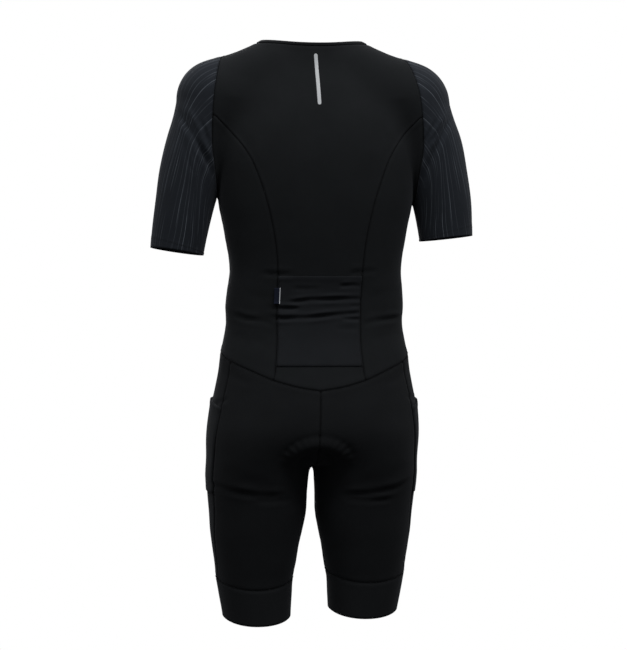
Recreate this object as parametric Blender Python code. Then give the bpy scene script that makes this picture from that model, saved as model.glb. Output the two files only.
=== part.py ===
"""Triathlon suit, size M, worn: short sleeves, mid-thigh shorts, one back pocket, front zip.

Frame: metres, +Z up, the garment's back faces +Y and its wearer's left is +X.  The origin is the
middle of the shoulder line, where the suit hangs on its wearer.  The cloth is drawn over a plain
general figure: ovals stacked for the body, the arms and the legs, blended where they meet.  Each
cut-and-sewn panel is a hollow-walled piece whose edges lie on the seams.
"""
import bpy
import numpy as np

MM = 0.001

# ---------------------------------------------------------------- cloth and trim sizes, in metres
WALL = 1.3 * MM             # drawn thickness of one layer of the knitted cloth
SEAM_PULL = 0.3 * MM        # how far each panel's edge stops short of its seam
SLEEVE_PULL = 0.6 * MM      # a little more where sleeve and body fold into the armpit
LAYER_GAP = 0.4 * MM        # air between a panel and what is sewn on it
BINDING_RISE = 5.0 * MM     # height of the neckline binding
ZIP_HALF_WIDTH = 5.0 * MM   # from the centre line to each front panel's edge
PAD_THICKNESS = 6.0 * MM
PAD_CLEARANCE = 2.9         # millimetres, because the facets of pad and seat differ
PAD_EDGE = 1.5              # millimetres, the pad's thickness at its rim
TAB_WALL = 0.6 * MM         # the woven tab's thickness
SLIDER_SIZE = (9 * MM, 13 * MM, 4.0 * MM)       # across, down, out
SLIDER_LIFT = 3.2 * MM      # from the tape's middle to the slider's middle
PULL_SIZE = (6 * MM, 27 * MM, 1.8 * MM)
PULL_LIFT = 6.9 * MM        # from the tape's middle to the pull's hinge
PULL_PIVOT_RISE = 3.5 * MM  # the hinge sits above the slider's middle
PULL_EYE = 1.2 * MM         # from the hinge to the pull's top edge

# ------------------------------------------------------- the general figure, in millimetres
# One row for each section.  Depths run from the plane of the shoulder joints.
BODY = [
    # height, half width, back depth, front depth, squareness
    (-20, 104, 62, 52, 2.2),
    (-60, 126, 80, 66, 2.2),
    (-110, 148, 98, 90, 2.3),
    (-160, 159, 107, 106, 2.4),
    (-210, 158, 108, 113, 2.4),
    (-250, 153.5, 105, 113, 2.4),
    (-278, 147.5, 101, 111, 2.4),
    (-304, 143, 97, 108, 2.4),
    (-326, 139, 93, 105, 2.4),
    (-352, 137, 88, 102, 2.4),
    (-380, 140, 83, 100, 2.4),
    (-405, 142, 80, 99, 2.4),
    (-435, 141, 80, 99, 2.4),
    (-460, 145, 83, 100, 2.4),
    (-484, 150, 89, 101, 2.4),
    (-508, 153, 97, 100, 2.3),
    (-540, 159, 108, 98, 2.3),
    (-570, 165, 117, 94, 2.3),
    (-605, 166, 121, 88, 2.3),
    (-640, 163, 114, 80, 2.3),
    (-680, 150, 96, 68, 2.3),
]
LEG = [
    # height, middle from the centre line, half width, back depth, front depth
    (-560, 78, 70, 92, 74),
    (-600, 82, 78, 106, 84),
    (-640, 84, 81.5, 106, 88),
    (-672, 86, 81.5, 99, 90),
    (-701, 86, 79.5, 91, 90),
    (-736, 85, 77, 86, 88),
    (-762, 86.5, 73.5, 83, 86),
    (-787, 87.5, 69, 79, 83),
    (-813, 87.5, 65, 75, 79),
    (-838, 88.5, 61, 71, 75),
    (-864, 87, 58, 68, 71),
    (-893, 85, 54.5, 65, 68),
    (-930, 83, 52, 62, 65),
]
ARM = {
    # height, middle from the centre line, middle's depth, radius
    "left": [(-82, 153, 0, 62), (-137, 178, 2, 57), (-189, 195.5, 4, 52.5),
             (-240, 207, 5, 48), (-291, 216.5, 5, 44.5), (-335, 222.5, 4, 41.5)],
    "right": [(-82, 153, 0, 62), (-137, 178.5, 2, 57), (-189, 192, 4, 52.5),
              (-240, 203.5, 5, 47.5), (-291, 209.5, 5, 43), (-335, 213, 4, 40.5)],
}
ARM_DEPTH = 1.12            # an arm is this much deeper than wide
SHOULDER_BAR = {"neck": (56, 4, -34), "neck_radius": 55, "arm": (150, 0, -82), "arm_radius": 61}
NECK_RADIUS = 62
NECK_END = -70
LEAN = [                    # height, sideways shift of the pose
    (20, 0), (-50, -3), (-150, -6), (-300, -7), (-350, -7), (-400, -5.5), (-570, -4),
    (-640, -1), (-760, 1.5), (-930, 3),
]
BODY_TOP, BODY_TOP_ROUND = -34, 60
BODY_END, BODY_END_ROUND = -655, 70
LEG_TOP, LEG_TOP_ROUND = -575, 50
BLEND_SHOULDER, BLEND_NECK, BLEND_SEAT, BLEND_CROTCH = 46, 34, 26, 12
ARM_BLEND = [(-260, 5), (-225, 6), (-150, 30), (-60, 36)]   # height, blend of arm into body

# ------------------------------------------------------------------ the cut: where the seams run
ARMSCYE = [                 # height, distance out at mid depth, how much further out to the back
    (-250, 156.8, 0.02), (-215, 157, 0.06), (-160, 157, 0.15), (-100, 151.5, 0.18),
    (-50, 145, 0.18), (0, 140, 0.18),
]
PRINCESS = [                # height, distance from the centre back
    (-545, 77), (-520, 71), (-480, 66), (-430, 65), (-357, 66), (-320, 69), (-270, 78),
    (-220, 92), (-170, 113), (-135, 138), (-105, 168),
]
PRINCESS_TOP = -109
WAIST_SEAM = [              # angle about the hip in degrees, 90 at the back, and height
    (-115, -470), (-60, -471), (-20, -475), (10, -482), (27, -494), (50, -509), (70, -522),
    (95, -534), (111, -539),
]
HIP_MIDDLE_TOP, HIP_MIDDLE_CROTCH = 40, 86
SEAT_SEAM = [(-930, 22), (-800, 24), (-705, 33), (-575, 33), (-480, 27)]       # height, angle
SIDE_FRONT_SEAM = [(-930, -30), (-700, -34), (-480, -32)]
NECKLINE = {"back": 1, "side": 14, "front": -48}            # heights of the neck seam
NECK_SIDE_ANGLE = -14       # where the shoulder seam meets the neckline, in degrees
SHOULDER_SEAM_DEPTH = -20   # the shoulder seam lies this far in front of the ridge
SIDE_SEAM_DEPTH = -8
CUFF = {"left": ((263, -314), (180, -326)), "right": ((254, -293), (169, -302))}  # outer, inner
GRIPPER_SEAM = {"side": -832, "back": -14, "front": 2}      # height, and rise at back and front
HEM = {"side": -893, "back": -10, "front": 3}
LEG_DROP = {"left": -5, "right": 5}                         # one leg sits a little lower
SLEEVE_FAN = [(0, 1), (0.28, 0.84), (0.48, 0.71), (0.62, 0.585), (0.81, 0.34), (1, 0)]
SLEEVE_MIDDLE = [(0, 205), (0.28, 172), (0.48, 122), (0.62, 103), (0.81, 77), (1, 72)]
BACK_POCKET = (-502, -361)  # bottom and top
SIDE_POCKET = (-702, -552)
PAD = [                     # degrees round the centre seam from the back, half width of the pad
    (30, 50), (42, 66), (58, 62), (75, 42), (90, 30), (108, 30), (125, 42), (140, 48), (152, 38),
]
TAB = {"left": 57, "right": 66, "bottom": -404, "top": -379}

# ------------------------------------------------------------------------ how finely it is drawn
PRINCESS_ROWS, ARMSCYE_UPPER, SHOULDER_ROWS = 15, 4, 3
ARMSCYE_LOWER, ARMSCYE_FRONT = 5, 9
BACK_COLUMNS, FRONT_COLUMNS = 12, 6
EDGE_FADE = 4.0
SLEEVE_RINGS = 10
SEAT_COLUMNS, SIDE_COLUMNS, FRONT_LEG_COLUMNS = 7, 4, 7
HIP_ROWS, LEG_ROWS = 8, 7


def smooth_table(rows):
    """The columns of a table as one smooth function of its first column."""
    table = np.array(sorted(rows), float)
    knots, values = table[:, 0], table[:, 1:]
    slopes = np.gradient(values, knots, axis=0)

    def at(place):
        place = np.clip(place, knots[0], knots[-1])
        low = np.clip(np.searchsorted(knots, place) - 1, 0, len(knots) - 2)
        span = knots[low + 1] - knots[low]
        t = ((place - knots[low]) / span)[..., None]
        span = span[..., None]
        out = (values[low] * (1 + 2 * t) * (1 - t) ** 2 + values[low + 1] * t * t * (3 - 2 * t)
               + span * (slopes[low] * t * (1 - t) ** 2 - slopes[low + 1] * t * t * (1 - t)))
        return [out[..., i] for i in range(out.shape[-1])]
    return at


body_at, leg_at = smooth_table(BODY), smooth_table(LEG)
arm_at = {side: smooth_table(rows) for side, rows in ARM.items()}
lean_at, arm_blend_at = smooth_table(LEAN), smooth_table(ARM_BLEND)
armscye_at, princess_at = smooth_table(ARMSCYE), smooth_table(PRINCESS)
waist_at, seat_seam_at = smooth_table(WAIST_SEAM), smooth_table(SEAT_SEAM)
side_front_at = smooth_table(SIDE_FRONT_SEAM)
SIDES = {"left": 1.0, "right": -1.0}
lowest = {"left": -400.0, "right": -400.0, "crotch": -800.0}     # armpits and crotch, found below


def join(a, b, blend):
    """Union of two distances, rounded over the length `blend`."""
    h = np.maximum(blend - np.abs(a - b), 0) / blend
    return np.minimum(a, b) - h ** 3 * blend / 6


def meet(a, b, blend):
    return -join(-a, -b, blend)


def oval(x, y, half_width, back, front, squareness):
    """Distance, in plan, to an oval with its own back and front depth."""
    depth = np.where(y > 0, back, front)
    u, v = np.abs(x) / half_width + 1e-9, np.abs(y) / depth + 1e-9
    q = (u ** squareness + v ** squareness) ** (1 / squareness)
    gu = (u / q) ** (squareness - 1) / half_width
    gv = (v / q) ** (squareness - 1) / depth
    return (q - 1) / np.hypot(gu, gv)


def figure(p, keep="all"):
    """Distance to the general figure.  `keep` leaves out, below an armpit or the crotch, all that
    a panel doesn't lie on: "torso" leaves out the arms, "left arm" all but that arm, and
    "left leg" the other leg."""
    x, y, z = p[..., 0], p[..., 1], p[..., 2]
    half_width, back, front, squareness = body_at(z)
    core = oval(x, y, half_width, back, front, squareness)
    core = meet(core, z - BODY_TOP, BODY_TOP_ROUND)
    core = meet(core, BODY_END - z, BODY_END_ROUND)
    for sign in SIDES.values():
        a, b = np.array(SHOULDER_BAR["neck"], float), np.array(SHOULDER_BAR["arm"], float)
        a[0], b[0] = a[0] * sign, b[0] * sign
        t = np.clip(((p - a) @ (b - a)) / ((b - a) @ (b - a)), 0, 1)
        radius = SHOULDER_BAR["neck_radius"] * (1 - t) + SHOULDER_BAR["arm_radius"] * t
        core = join(core, np.linalg.norm(p - a - t[..., None] * (b - a), axis=-1) - radius, BLEND_SHOULDER)
    neck = meet(np.hypot(x, y + 0.12 * z + 2) - NECK_RADIUS, NECK_END - z, BLEND_NECK)
    core = join(core, neck, BLEND_NECK)
    legs = None
    for side, sign in SIDES.items():
        middle, half_width, back, front = leg_at(z)
        leg = oval(x * sign - middle, y, half_width, back, front, 2.2)
        leg = meet(leg, z - LEG_TOP, LEG_TOP_ROUND)
        if keep.endswith("leg") and not keep.startswith(side):
            leg = leg + 4 * np.maximum(lowest["crotch"] - z, 0)
        legs = leg if legs is None else join(legs, leg, BLEND_CROTCH)
    whole = join(core, legs, BLEND_SEAT)
    blend = arm_blend_at(z)[0]
    for side, sign in SIDES.items():
        under_arm = 4 * np.maximum(lowest[side] - z, 0)
        at = np.minimum(z, ARM[side][0][0])
        middle, depth, radius = arm_at[side](at)
        arm = np.sqrt((x * sign - middle) ** 2 + ((y - depth) / ARM_DEPTH) ** 2 + (z - at) ** 2) - radius
        if keep == side + " arm":
            whole = whole + under_arm
        elif keep == "torso":
            arm = arm + under_arm
        whole = join(whole, arm, blend)
    return whole


def slope(p, keep="all"):
    """The outward direction of the figure's surface."""
    step = 0.5
    g = np.stack([figure(p + step * axis, keep) - figure(p - step * axis, keep) for axis in np.eye(3)], -1)
    return g / (2 * step)


def settle(p, keep="all", level=0.0):
    """Moves points along the slope until they lie on the figure, or `level` outside it."""
    for _ in range(14):
        g = slope(p, keep)
        move = ((figure(p, keep) - level) / np.maximum((g * g).sum(-1), 0.05))[..., None] * g
        length = np.linalg.norm(move, axis=-1, keepdims=True)
        p = p - move * np.minimum(1, 14 / np.maximum(length, 1e-9))
    return p


def cast(path, reach, keep="all"):
    """The first point where path(r) leaves the figure, for r from 0 to `reach`."""
    steps = 90
    low = np.zeros(np.shape(path(0.0))[:-1])
    found = np.zeros(low.shape, bool)
    for k in range(1, steps + 1):
        r = reach * k / steps
        outside = figure(path(np.full(low.shape, r)), keep) > 0
        found |= outside
        low = np.where(found, low, r)
    high = low + reach / steps
    for _ in range(20):
        middle = (low + high) / 2
        outside = figure(path(middle), keep) > 0
        low, high = np.where(outside, low, middle), np.where(outside, middle, high)
    return path((low + high) / 2)


def along(curve, count, start=0.0, end=1.0):
    """`count` + 1 points evenly along a line of points, between two fractions of its length."""
    length = np.r_[0, np.cumsum(np.linalg.norm(np.diff(curve, axis=0), axis=1))]
    want = np.linspace(start, end, count + 1) * length[-1]
    return np.stack([np.interp(want, length, curve[:, i]) for i in range(3)], -1)


def spread(stops, counts):
    """Values between neighbouring stops, with each stop once."""
    parts = [np.linspace(a, b, n, endpoint=False) for a, b, n in zip(stops, stops[1:], counts)]
    return np.r_[np.concatenate(parts), stops[-1]]


def xyz(x, y, z):
    return np.stack(np.broadcast_arrays(np.asarray(x, float), y, z), -1)


def round_axis(p):
    """Angle, radius and height; the angle runs from -90 to 270 with the centre back at 90."""
    angle = (np.degrees(np.arctan2(p[..., 1], p[..., 0])) + 90) % 360 - 90
    return xyz(angle, np.hypot(p[..., 0], p[..., 1]), p[..., 2])


def filled(bottom, top, first, last):
    """Coordinates spread between four edges.  Heights forget a bowed bottom or top edge sooner."""
    u = np.linspace(0, 1, len(bottom))[None, :, None]
    v = np.linspace(0, 1, len(first))[:, None, None]
    fade = np.array([1.0, 1.0, EDGE_FADE])
    return ((1 - u) * first[:, None] + u * last[:, None]
            + (1 - v) ** fade * (bottom - (1 - u[0]) * bottom[0] - u[0] * bottom[-1])
            + v ** fade * (top - (1 - u[0]) * top[0] - u[0] * top[-1]))


def patch(bottom, top, first, last, shoulder=True, keep="torso"):
    """A grid of points between four edges, laid on the figure.  Its own edges stay as they are.

    The rows are spread round the body's axis, and straight across on the way up a shoulder."""
    grid = filled(*(round_axis(edge) for edge in (bottom, top, first, last)))
    angle = np.radians(grid[..., 0])
    grid = xyz(grid[..., 1] * np.cos(angle), grid[..., 1] * np.sin(angle), grid[..., 2])
    if shoulder:
        t = np.clip((np.linspace(0, 1, len(first)) - 0.4) / 0.3, 0, 1)[:, None, None]
        t = t * t * (3 - 2 * t)
        grid = grid * (1 - t) + filled(bottom, top, first, last) * t
    grid = settle(grid, keep)
    grid[0], grid[-1], grid[:, 0], grid[:, -1] = bottom, top, first, last
    return grid


# ------------------------------------------------------------------------ the seam lines
def sleeve_ring(side, s, angles):
    """One ring of a sleeve: the armscye at s = 0 and the cuff at s = 1.  Angle 0 is the top."""
    sign = SIDES[side]
    (out_x, out_z), (in_x, in_z) = CUFF[side]
    tilt = np.arctan2(out_z - in_z, out_x - in_x)
    hub_x = ARMSCYE[1][1] - 3
    hub_z = in_z - (in_x - hub_x) * np.tan(tilt)
    turn = tilt + (np.pi / 2 - tilt) * smooth_table(SLEEVE_FAN)(np.array(s))[0]
    middle = smooth_table(SLEEVE_MIDDLE)(np.array(s))[0]
    up_x, up_z = np.cos(turn), np.sin(turn)
    c, d = np.cos(np.radians(angles)), np.sin(np.radians(angles))

    def path(r):
        reach = middle + r * c
        y = r * d + 2
        z = hub_z + reach * up_z
        x = hub_x + reach * up_x
        seam_x, seam_turn = armscye_at(z)
        x = x + (seam_x + seam_turn * y - hub_x) * (1 - s) ** 2
        return xyz(x * sign, y, z)
    return cast(path, 150, side + " arm")


def armpit_heights():
    for side in SIDES:
        lowest[side] = float(sleeve_ring(side, 0.0, np.array([180.0]))[0, 2])


def centre_seam(angle):
    """A point of the shorts' centre seam: 0 is the back waist, 90 the crotch, 180 the front waist."""
    a = np.radians(angle)
    back_z, front_z = WAIST_SEAM[-1][1], WAIST_SEAM[0][1]
    t = np.clip((np.asarray(angle, float) - 90) / 90, 0, 1)
    z0 = back_z + (front_z - back_z) * t * t * (3 - 2 * t)
    return cast(lambda r: xyz(0.0, 4 + r * np.cos(a), z0 - r * np.sin(a)), 160)


def hip_point(side, height, middle, angle, keep):
    """The point of one side's shorts at a height and an angle about the hip's middle."""
    a = np.radians(angle)
    return cast(lambda r: xyz(SIDES[side] * (middle + r * np.cos(a)), r * np.sin(a), height), 190, keep)


def waist_line(side):
    """Half of the waist seam, from the centre back round the side to the centre front."""
    back, front = centre_seam(np.array(0.0)), centre_seam(np.array(180.0))
    ends = [np.degrees(np.arctan2(p[1], -HIP_MIDDLE_TOP)) for p in (back, front)]
    angles = np.linspace(ends[0], ends[1], 240)
    line = hip_point(side, waist_at(angles)[0], HIP_MIDDLE_TOP, angles, "torso")
    line[0], line[-1] = back, front
    return line


def neck_point(angle, rise=0.0):
    """A point of the neckline, `rise` above the neck seam, at an angle about the neck."""
    side = np.radians(NECK_SIDE_ANGLE)
    a = np.radians(angle)
    tall = np.sin(a)
    lift = np.sin(side)
    t_back = np.clip((tall - lift) / (1 - lift), 0, 1)
    t_front = np.clip((lift - tall) / (1 + lift), 0, 1)
    z = (NECKLINE["side"] + (NECKLINE["back"] - NECKLINE["side"]) * t_back ** 1.3
         + (NECKLINE["front"] - NECKLINE["side"]) * t_front ** 1.15) + rise
    return cast(lambda r: xyz(r * np.cos(a), r * np.sin(a), z), 160, "torso")


def cut_line(curve, place):
    """Fraction of a curve's length where `place(point)` first changes sign."""
    value = place(curve)
    k = int(np.flatnonzero(np.sign(value[:-1]) != np.sign(value[1:]))[0])
    length = np.r_[0, np.cumsum(np.linalg.norm(np.diff(curve, axis=0), axis=1))]
    t = value[k] / (value[k] - value[k + 1])
    return (length[k] + t * (length[k + 1] - length[k])) / length[-1]


# ------------------------------------------------------------------------ panels as grids
def torso_panels():
    """Grids of the back, the two back sides and the two fronts, and each side's sleeve."""
    grids, edges = {}, {}
    for side, sign in SIDES.items():
        top_angle = np.degrees(np.arctan2(SHOULDER_SEAM_DEPTH, 107.0))
        dense = sleeve_ring(side, 0.0, np.linspace(0, 180, 400))
        k = int(np.argmin(np.abs(dense[:, 2] - PRINCESS_TOP)))
        join_angle = 180.0 * k / 399
        counts = (ARMSCYE_UPPER, ARMSCYE_LOWER, ARMSCYE_FRONT)
        angles = spread((top_angle, join_angle, 180.0, 360.0 + top_angle), counts)
        rings = [sleeve_ring(side, s, angles[:-1]) for s in np.linspace(0, 1, SLEEVE_RINGS + 1)]
        grids["sleeve_" + side] = np.stack(rings)
        loop = np.concatenate([rings[0], rings[0][:1]])
        upper = loop[:ARMSCYE_UPPER + 1]
        lower = loop[ARMSCYE_UPPER:ARMSCYE_UPPER + ARMSCYE_LOWER + 1]
        front = loop[ARMSCYE_UPPER + ARMSCYE_LOWER:]

        waist = waist_line(side)
        at_princess = cut_line(waist, lambda p: np.abs(p[:, 0]) - princess_at(p[:, 2])[0])
        at_side = cut_line(waist, lambda p: p[:, 1] - SIDE_SEAM_DEPTH)
        at_zip = 1 - cut_line(waist[::-1], lambda p: np.abs(p[:, 0]) - ZIP_HALF_WIDTH / MM)
        start = along(waist, 1, 0, at_princess)[-1]

        heights = np.linspace(start[2], PRINCESS_TOP, 90)
        guess = xyz(sign * princess_at(heights)[0], body_at(heights)[1] * 0.8, heights)
        guess = cast(lambda r: xyz(guess[:, 0], r, heights), 150, "torso")
        guess[0], guess[-1] = start, upper[-1]
        princess = along(guess, PRINCESS_ROWS)

        armpit = lower[-1]
        end = along(waist, 1, 0, at_side)[-1]
        heights = np.linspace(end[2], armpit[2], 60)
        depths = np.linspace(end[1], armpit[1], 60)
        line = settle(xyz(sign * body_at(heights)[0], depths, heights), "torso")
        line[0], line[-1] = end, armpit
        side_seam = along(line, PRINCESS_ROWS)

        neck = neck_point(np.array(NECK_SIDE_ANGLE if sign > 0 else 180 - NECK_SIDE_ANGLE, float))
        t = np.linspace(0, 1, 30)
        x = upper[0][0] + (neck[0] - upper[0][0]) * t
        y = upper[0][1] + (neck[1] - upper[0][1]) * t
        shoulder = cast(lambda r: xyz(x, y, -60 + r), 120, "torso")
        shoulder[0], shoulder[-1] = upper[0], neck
        shoulder = along(shoulder, SHOULDER_ROWS)

        grids["back_side_" + side] = patch(along(waist, ARMSCYE_LOWER, at_princess, at_side),
                                           lower, princess, side_seam, shoulder=False)
        angles = np.linspace(NECK_SIDE_ANGLE, -90, 60)
        throat = neck_point(angles if sign > 0 else 180 - angles)
        at_throat = cut_line(throat, lambda p: np.abs(p[:, 0]) - ZIP_HALF_WIDTH / MM)
        throat = along(throat, FRONT_COLUMNS, 0, at_throat)
        hem = along(waist, FRONT_COLUMNS, at_side, at_zip)
        outer = np.concatenate([side_seam, front[1:], shoulder[1:]])
        heights = np.linspace(hem[-1][2], throat[-1][2], 90)
        centre = cast(lambda r: xyz(sign * ZIP_HALF_WIDTH / MM, -r, heights), 160, "torso")
        centre[0], centre[-1] = hem[-1], throat[-1]
        grids["front_" + side] = patch(hem, throat, outer, along(centre, len(outer) - 1))
        grids["zip_edge_" + side] = centre
        edges[side] = (np.concatenate([princess, upper[::-1][1:], shoulder[1:]]), waist, at_princess)

    half = BACK_COLUMNS // 2
    angles = np.linspace(NECK_SIDE_ANGLE, 180 - NECK_SIDE_ANGLE, 121)
    nape = along(neck_point(angles), BACK_COLUMNS)
    low = {side: along(edges[side][1], half, 0, edges[side][2]) for side in SIDES}
    heights = np.r_[np.linspace(low["left"][0][2], PRINCESS_TOP, PRINCESS_ROWS + 1),
                    np.linspace(PRINCESS_TOP, nape[half][2], ARMSCYE_UPPER + SHOULDER_ROWS + 1)[1:]]
    middle = cast(lambda r: xyz(0.0, r, heights), 150, "torso")
    middle[0], middle[-1] = low["left"][0], nape[half]
    left = patch(low["left"][::-1], nape[:half + 1], edges["left"][0], middle)
    right = patch(low["right"], nape[half:], middle, edges["right"][0])
    grids["back_centre"] = np.concatenate([left, right[:, 1:]], axis=1)
    return grids


def band_height(band, side, angle):
    """Height of the gripper seam or the hem round a leg; 90 degrees is the back."""
    lift = np.sin(np.radians(angle))
    rise = np.where(lift > 0, band["back"] * lift ** 2, band["front"] * lift ** 2)
    return band["side"] + LEG_DROP[side] + rise


def shorts_grid(side):
    """All of one side's shorts from the waist seam to the hem: rows of points round the leg.

    The first column runs down the centre back and the inseam, the last down the centre front and
    the inseam.  Rows above the crotch end on the centre seam, and those below it close."""
    keep = side + " leg"
    counts = (SEAT_COLUMNS, SIDE_COLUMNS, FRONT_LEG_COLUMNS)
    rows = []
    for s in np.linspace(0, 1, HIP_ROWS + 1):
        back, front = centre_seam(np.array(90.0 * s)), centre_seam(np.array(180 - 90.0 * s))
        middle = HIP_MIDDLE_TOP + (HIP_MIDDLE_CROTCH - HIP_MIDDLE_TOP) * s
        first = np.degrees(np.arctan2(back[1], -middle)) if s < 1 else 180.0
        last = np.degrees(np.arctan2(front[1], -middle)) if s < 1 else -180.0
        side_height = waist_at(np.array(0.0))[0] * (1 - s) + lowest["crotch"] * s
        seams = [float(seat_seam_at(side_height)[0]), float(side_front_at(side_height)[0])]
        angles = spread([first] + seams + [last], counts)
        flat = waist_at(angles)[0] * (1 - s) + lowest["crotch"] * s
        t_back = np.clip((angles - seams[0]) / (first - seams[0]), 0, 1)
        t_front = np.clip((seams[1] - angles) / (seams[1] - last), 0, 1)
        z = flat + (back[2] - flat[0]) * t_back ** 2.5 + (front[2] - flat[-1]) * t_front ** 2.5
        row = hip_point(side, z, middle, angles, keep)
        row[0], row[-1] = back, front
        rows.append(row)
    gripper_row = HIP_ROWS + LEG_ROWS
    for k in range(1, LEG_ROWS + 3):
        low = GRIPPER_SEAM if k <= LEG_ROWS else HEM
        s = k / LEG_ROWS if k <= LEG_ROWS else (k - LEG_ROWS) / 2
        about = lowest["crotch"] + (low["side"] - lowest["crotch"]) * min(k / LEG_ROWS, 1)
        middle = leg_at(np.array(about))[0]
        seams = [float(seat_seam_at(about)[0]), float(side_front_at(about)[0])]
        angles = spread([180.0] + seams + [-180.0], counts)
        above = lowest["crotch"] if k <= LEG_ROWS else band_height(GRIPPER_SEAM, side, angles)
        z = above + (band_height(low, side, angles) - above) * s
        row = hip_point(side, z, float(middle), angles, keep)
        row[-1] = row[0]
        rows.append(row)
    return np.stack(rows), gripper_row


# ------------------------------------------------------------------------ grids into solids
def unit(v):
    return v / np.maximum(np.linalg.norm(v, axis=-1, keepdims=True), 1e-9)


def pulled(grid, normal, wraps, pull):
    """The grid with its open edges drawn back, square to their seams and along the cloth."""
    moved = grid.copy()
    ends = [(0, 1), (-1, -2)] if wraps else [(0, 1), (-1, -2), (None, 0), (None, -1)]
    for row, other in ends:
        pick = (slice(None), other) if row is None else (row,)
        inner = (slice(None), 1 if other == 0 else -2) if row is None else (other,)
        edge = grid[pick]
        if wraps:
            tangent = unit(np.roll(edge, -1, axis=0) - np.roll(edge, 1, axis=0))
        else:
            tangent = unit(np.gradient(edge, axis=0))
        gap = grid[inner] - edge
        gap = gap - (gap * tangent).sum(-1, keepdims=True) * tangent
        gap = gap - (gap * normal[pick]).sum(-1, keepdims=True) * normal[pick]
        moved[pick] += unit(gap) * pull
    return moved


def finish_place(p):
    """From the upright figure, in millimetres, to the pose, in metres."""
    q = p.copy()
    q[..., 0] += lean_at(p[..., 2])[0]
    return q * MM


def material(name, colour, roughness, metallic=0.0):
    made = bpy.data.materials.new(name)
    made.use_nodes = True
    shader = made.node_tree.nodes["Principled BSDF"]
    shader.inputs["Base Color"].default_value = (*colour, 1)
    shader.inputs["Roughness"].default_value = roughness
    shader.inputs["Metallic"].default_value = metallic
    made.diffuse_color = (*colour, 1)
    return made


def add_object(name, vertices, faces, finish):
    mesh = bpy.data.meshes.new(name)
    mesh.from_pydata([tuple(map(float, v)) for v in vertices], [], faces)
    mesh.validate()
    mesh.shade_smooth()
    mesh.set_sharp_from_angle(angle=np.radians(40))
    made = bpy.data.objects.new(name, mesh)
    bpy.context.scene.collection.objects.link(made)
    mesh.materials.append(material(name + "_finish", *finish))
    return made


def grid_solid(name, outer, inner, wraps, finish):
    """A closed wall between two grids of points of one shape."""
    rows, columns = outer.shape[:2]
    last = columns if wraps else columns - 1
    def o(r, c):
        return r * columns + c % columns
    def i(r, c):
        return rows * columns + r * columns + c % columns
    faces = []
    for r in range(rows - 1):
        for c in range(last):
            faces.append((o(r, c), o(r, c + 1), o(r + 1, c + 1), o(r + 1, c)))
            faces.append((i(r, c), i(r + 1, c), i(r + 1, c + 1), i(r, c + 1)))
    for c in range(last):
        faces.append((o(0, c + 1), o(0, c), i(0, c), i(0, c + 1)))
        faces.append((o(rows - 1, c), o(rows - 1, c + 1), i(rows - 1, c + 1), i(rows - 1, c)))
    if not wraps:
        for r in range(rows - 1):
            faces.append((o(r, 0), o(r + 1, 0), i(r + 1, 0), i(r, 0)))
            faces.append((o(r + 1, columns - 1), o(r, columns - 1), i(r, columns - 1), i(r + 1, columns - 1)))
    across = np.cross(outer[0, 1] - outer[0, 0], outer[1, 0] - outer[0, 0])
    if across @ (outer[0, 0] - inner[0, 0]) < 0:
        faces = [tuple(reversed(f)) for f in faces]
    points = np.concatenate([outer.reshape(-1, 3), inner.reshape(-1, 3)])
    return add_object(name, finish_place(points), faces, finish)


def cloth(name, grid, finish, keep="all", wraps=False, lift=0.0, wall=WALL, pull=SEAM_PULL):
    """One layer of cloth on the figure, `lift` above it, with its wall inward.

    At its edges the wall stands square to the whole figure, as its neighbour's does."""
    normal, shared = slope(grid, keep), slope(grid)
    normal[0], normal[-1] = shared[0], shared[-1]
    if not wraps:
        normal[:, 0], normal[:, -1] = shared[:, 0], shared[:, -1]
    normal = unit(normal)
    flat = pulled(grid, normal, wraps, pull / MM)
    outer = flat + normal * (lift / MM)
    return grid_solid(name, outer, outer - normal * (wall / MM), wraps, finish)


BLACK_KNIT = ((0.012, 0.013, 0.015), 0.75)
SLATE_KNIT = ((0.032, 0.036, 0.045), 0.8)
GRIPPER_KNIT = ((0.018, 0.019, 0.021), 0.7)
TAPE = ((0.015, 0.015, 0.017), 0.6)
NICKEL = ((0.35, 0.35, 0.36), 0.35, 1.0)
TAB_WEAVE = ((0.02, 0.025, 0.05), 0.7)
FOAM = ((0.05, 0.05, 0.055), 0.9)


def build_torso():
    grids = torso_panels()
    for side in SIDES:
        cloth("sleeve_" + side, grids["sleeve_" + side], SLATE_KNIT, side + " arm", wraps=True,
              pull=SLEEVE_PULL)
        cloth("back_side_" + side, grids["back_side_" + side], BLACK_KNIT, "torso")
        cloth("front_" + side, grids["front_" + side], BLACK_KNIT, "torso")
    back = grids["back_centre"]
    cloth("back_centre", back, BLACK_KNIT, "torso")
    return grids


def rows_between(grid, low, high):
    """The part of a panel between two heights of its middle column, with the panel's own rows."""
    middle = grid[:, grid.shape[1] // 2, 2]
    order = np.argsort(middle)
    start, end = sorted(np.interp((low, high), middle[order], order.astype(float)))
    inner = np.arange(np.ceil(start + 0.2), np.floor(end - 0.2) + 1)
    places = np.r_[start, inner, end]
    row = np.minimum(places.astype(int), len(grid) - 2)
    t = (places - row)[:, None, None]
    return grid[row] * (1 - t) + grid[row + 1] * t


def build_back_pocket(back):
    """The pocket is sewn in at the two long back seams, so it's the back panel moved out."""
    grid = rows_between(back, *BACK_POCKET)
    lift = WALL + LAYER_GAP
    cloth("back_pocket", grid, BLACK_KNIT, "torso", lift=lift, pull=0.8 * MM)
    x = np.linspace(TAB["left"], TAB["right"], 3)
    z = np.linspace(TAB["bottom"], TAB["top"], 4)
    tab = cast(lambda r: xyz(x[None, :], r, z[:, None]), 150, "torso")
    cloth("pocket_label", tab, TAB_WEAVE, "torso", lift=lift + LAYER_GAP + TAB_WALL,
          wall=TAB_WALL, pull=0)


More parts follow.
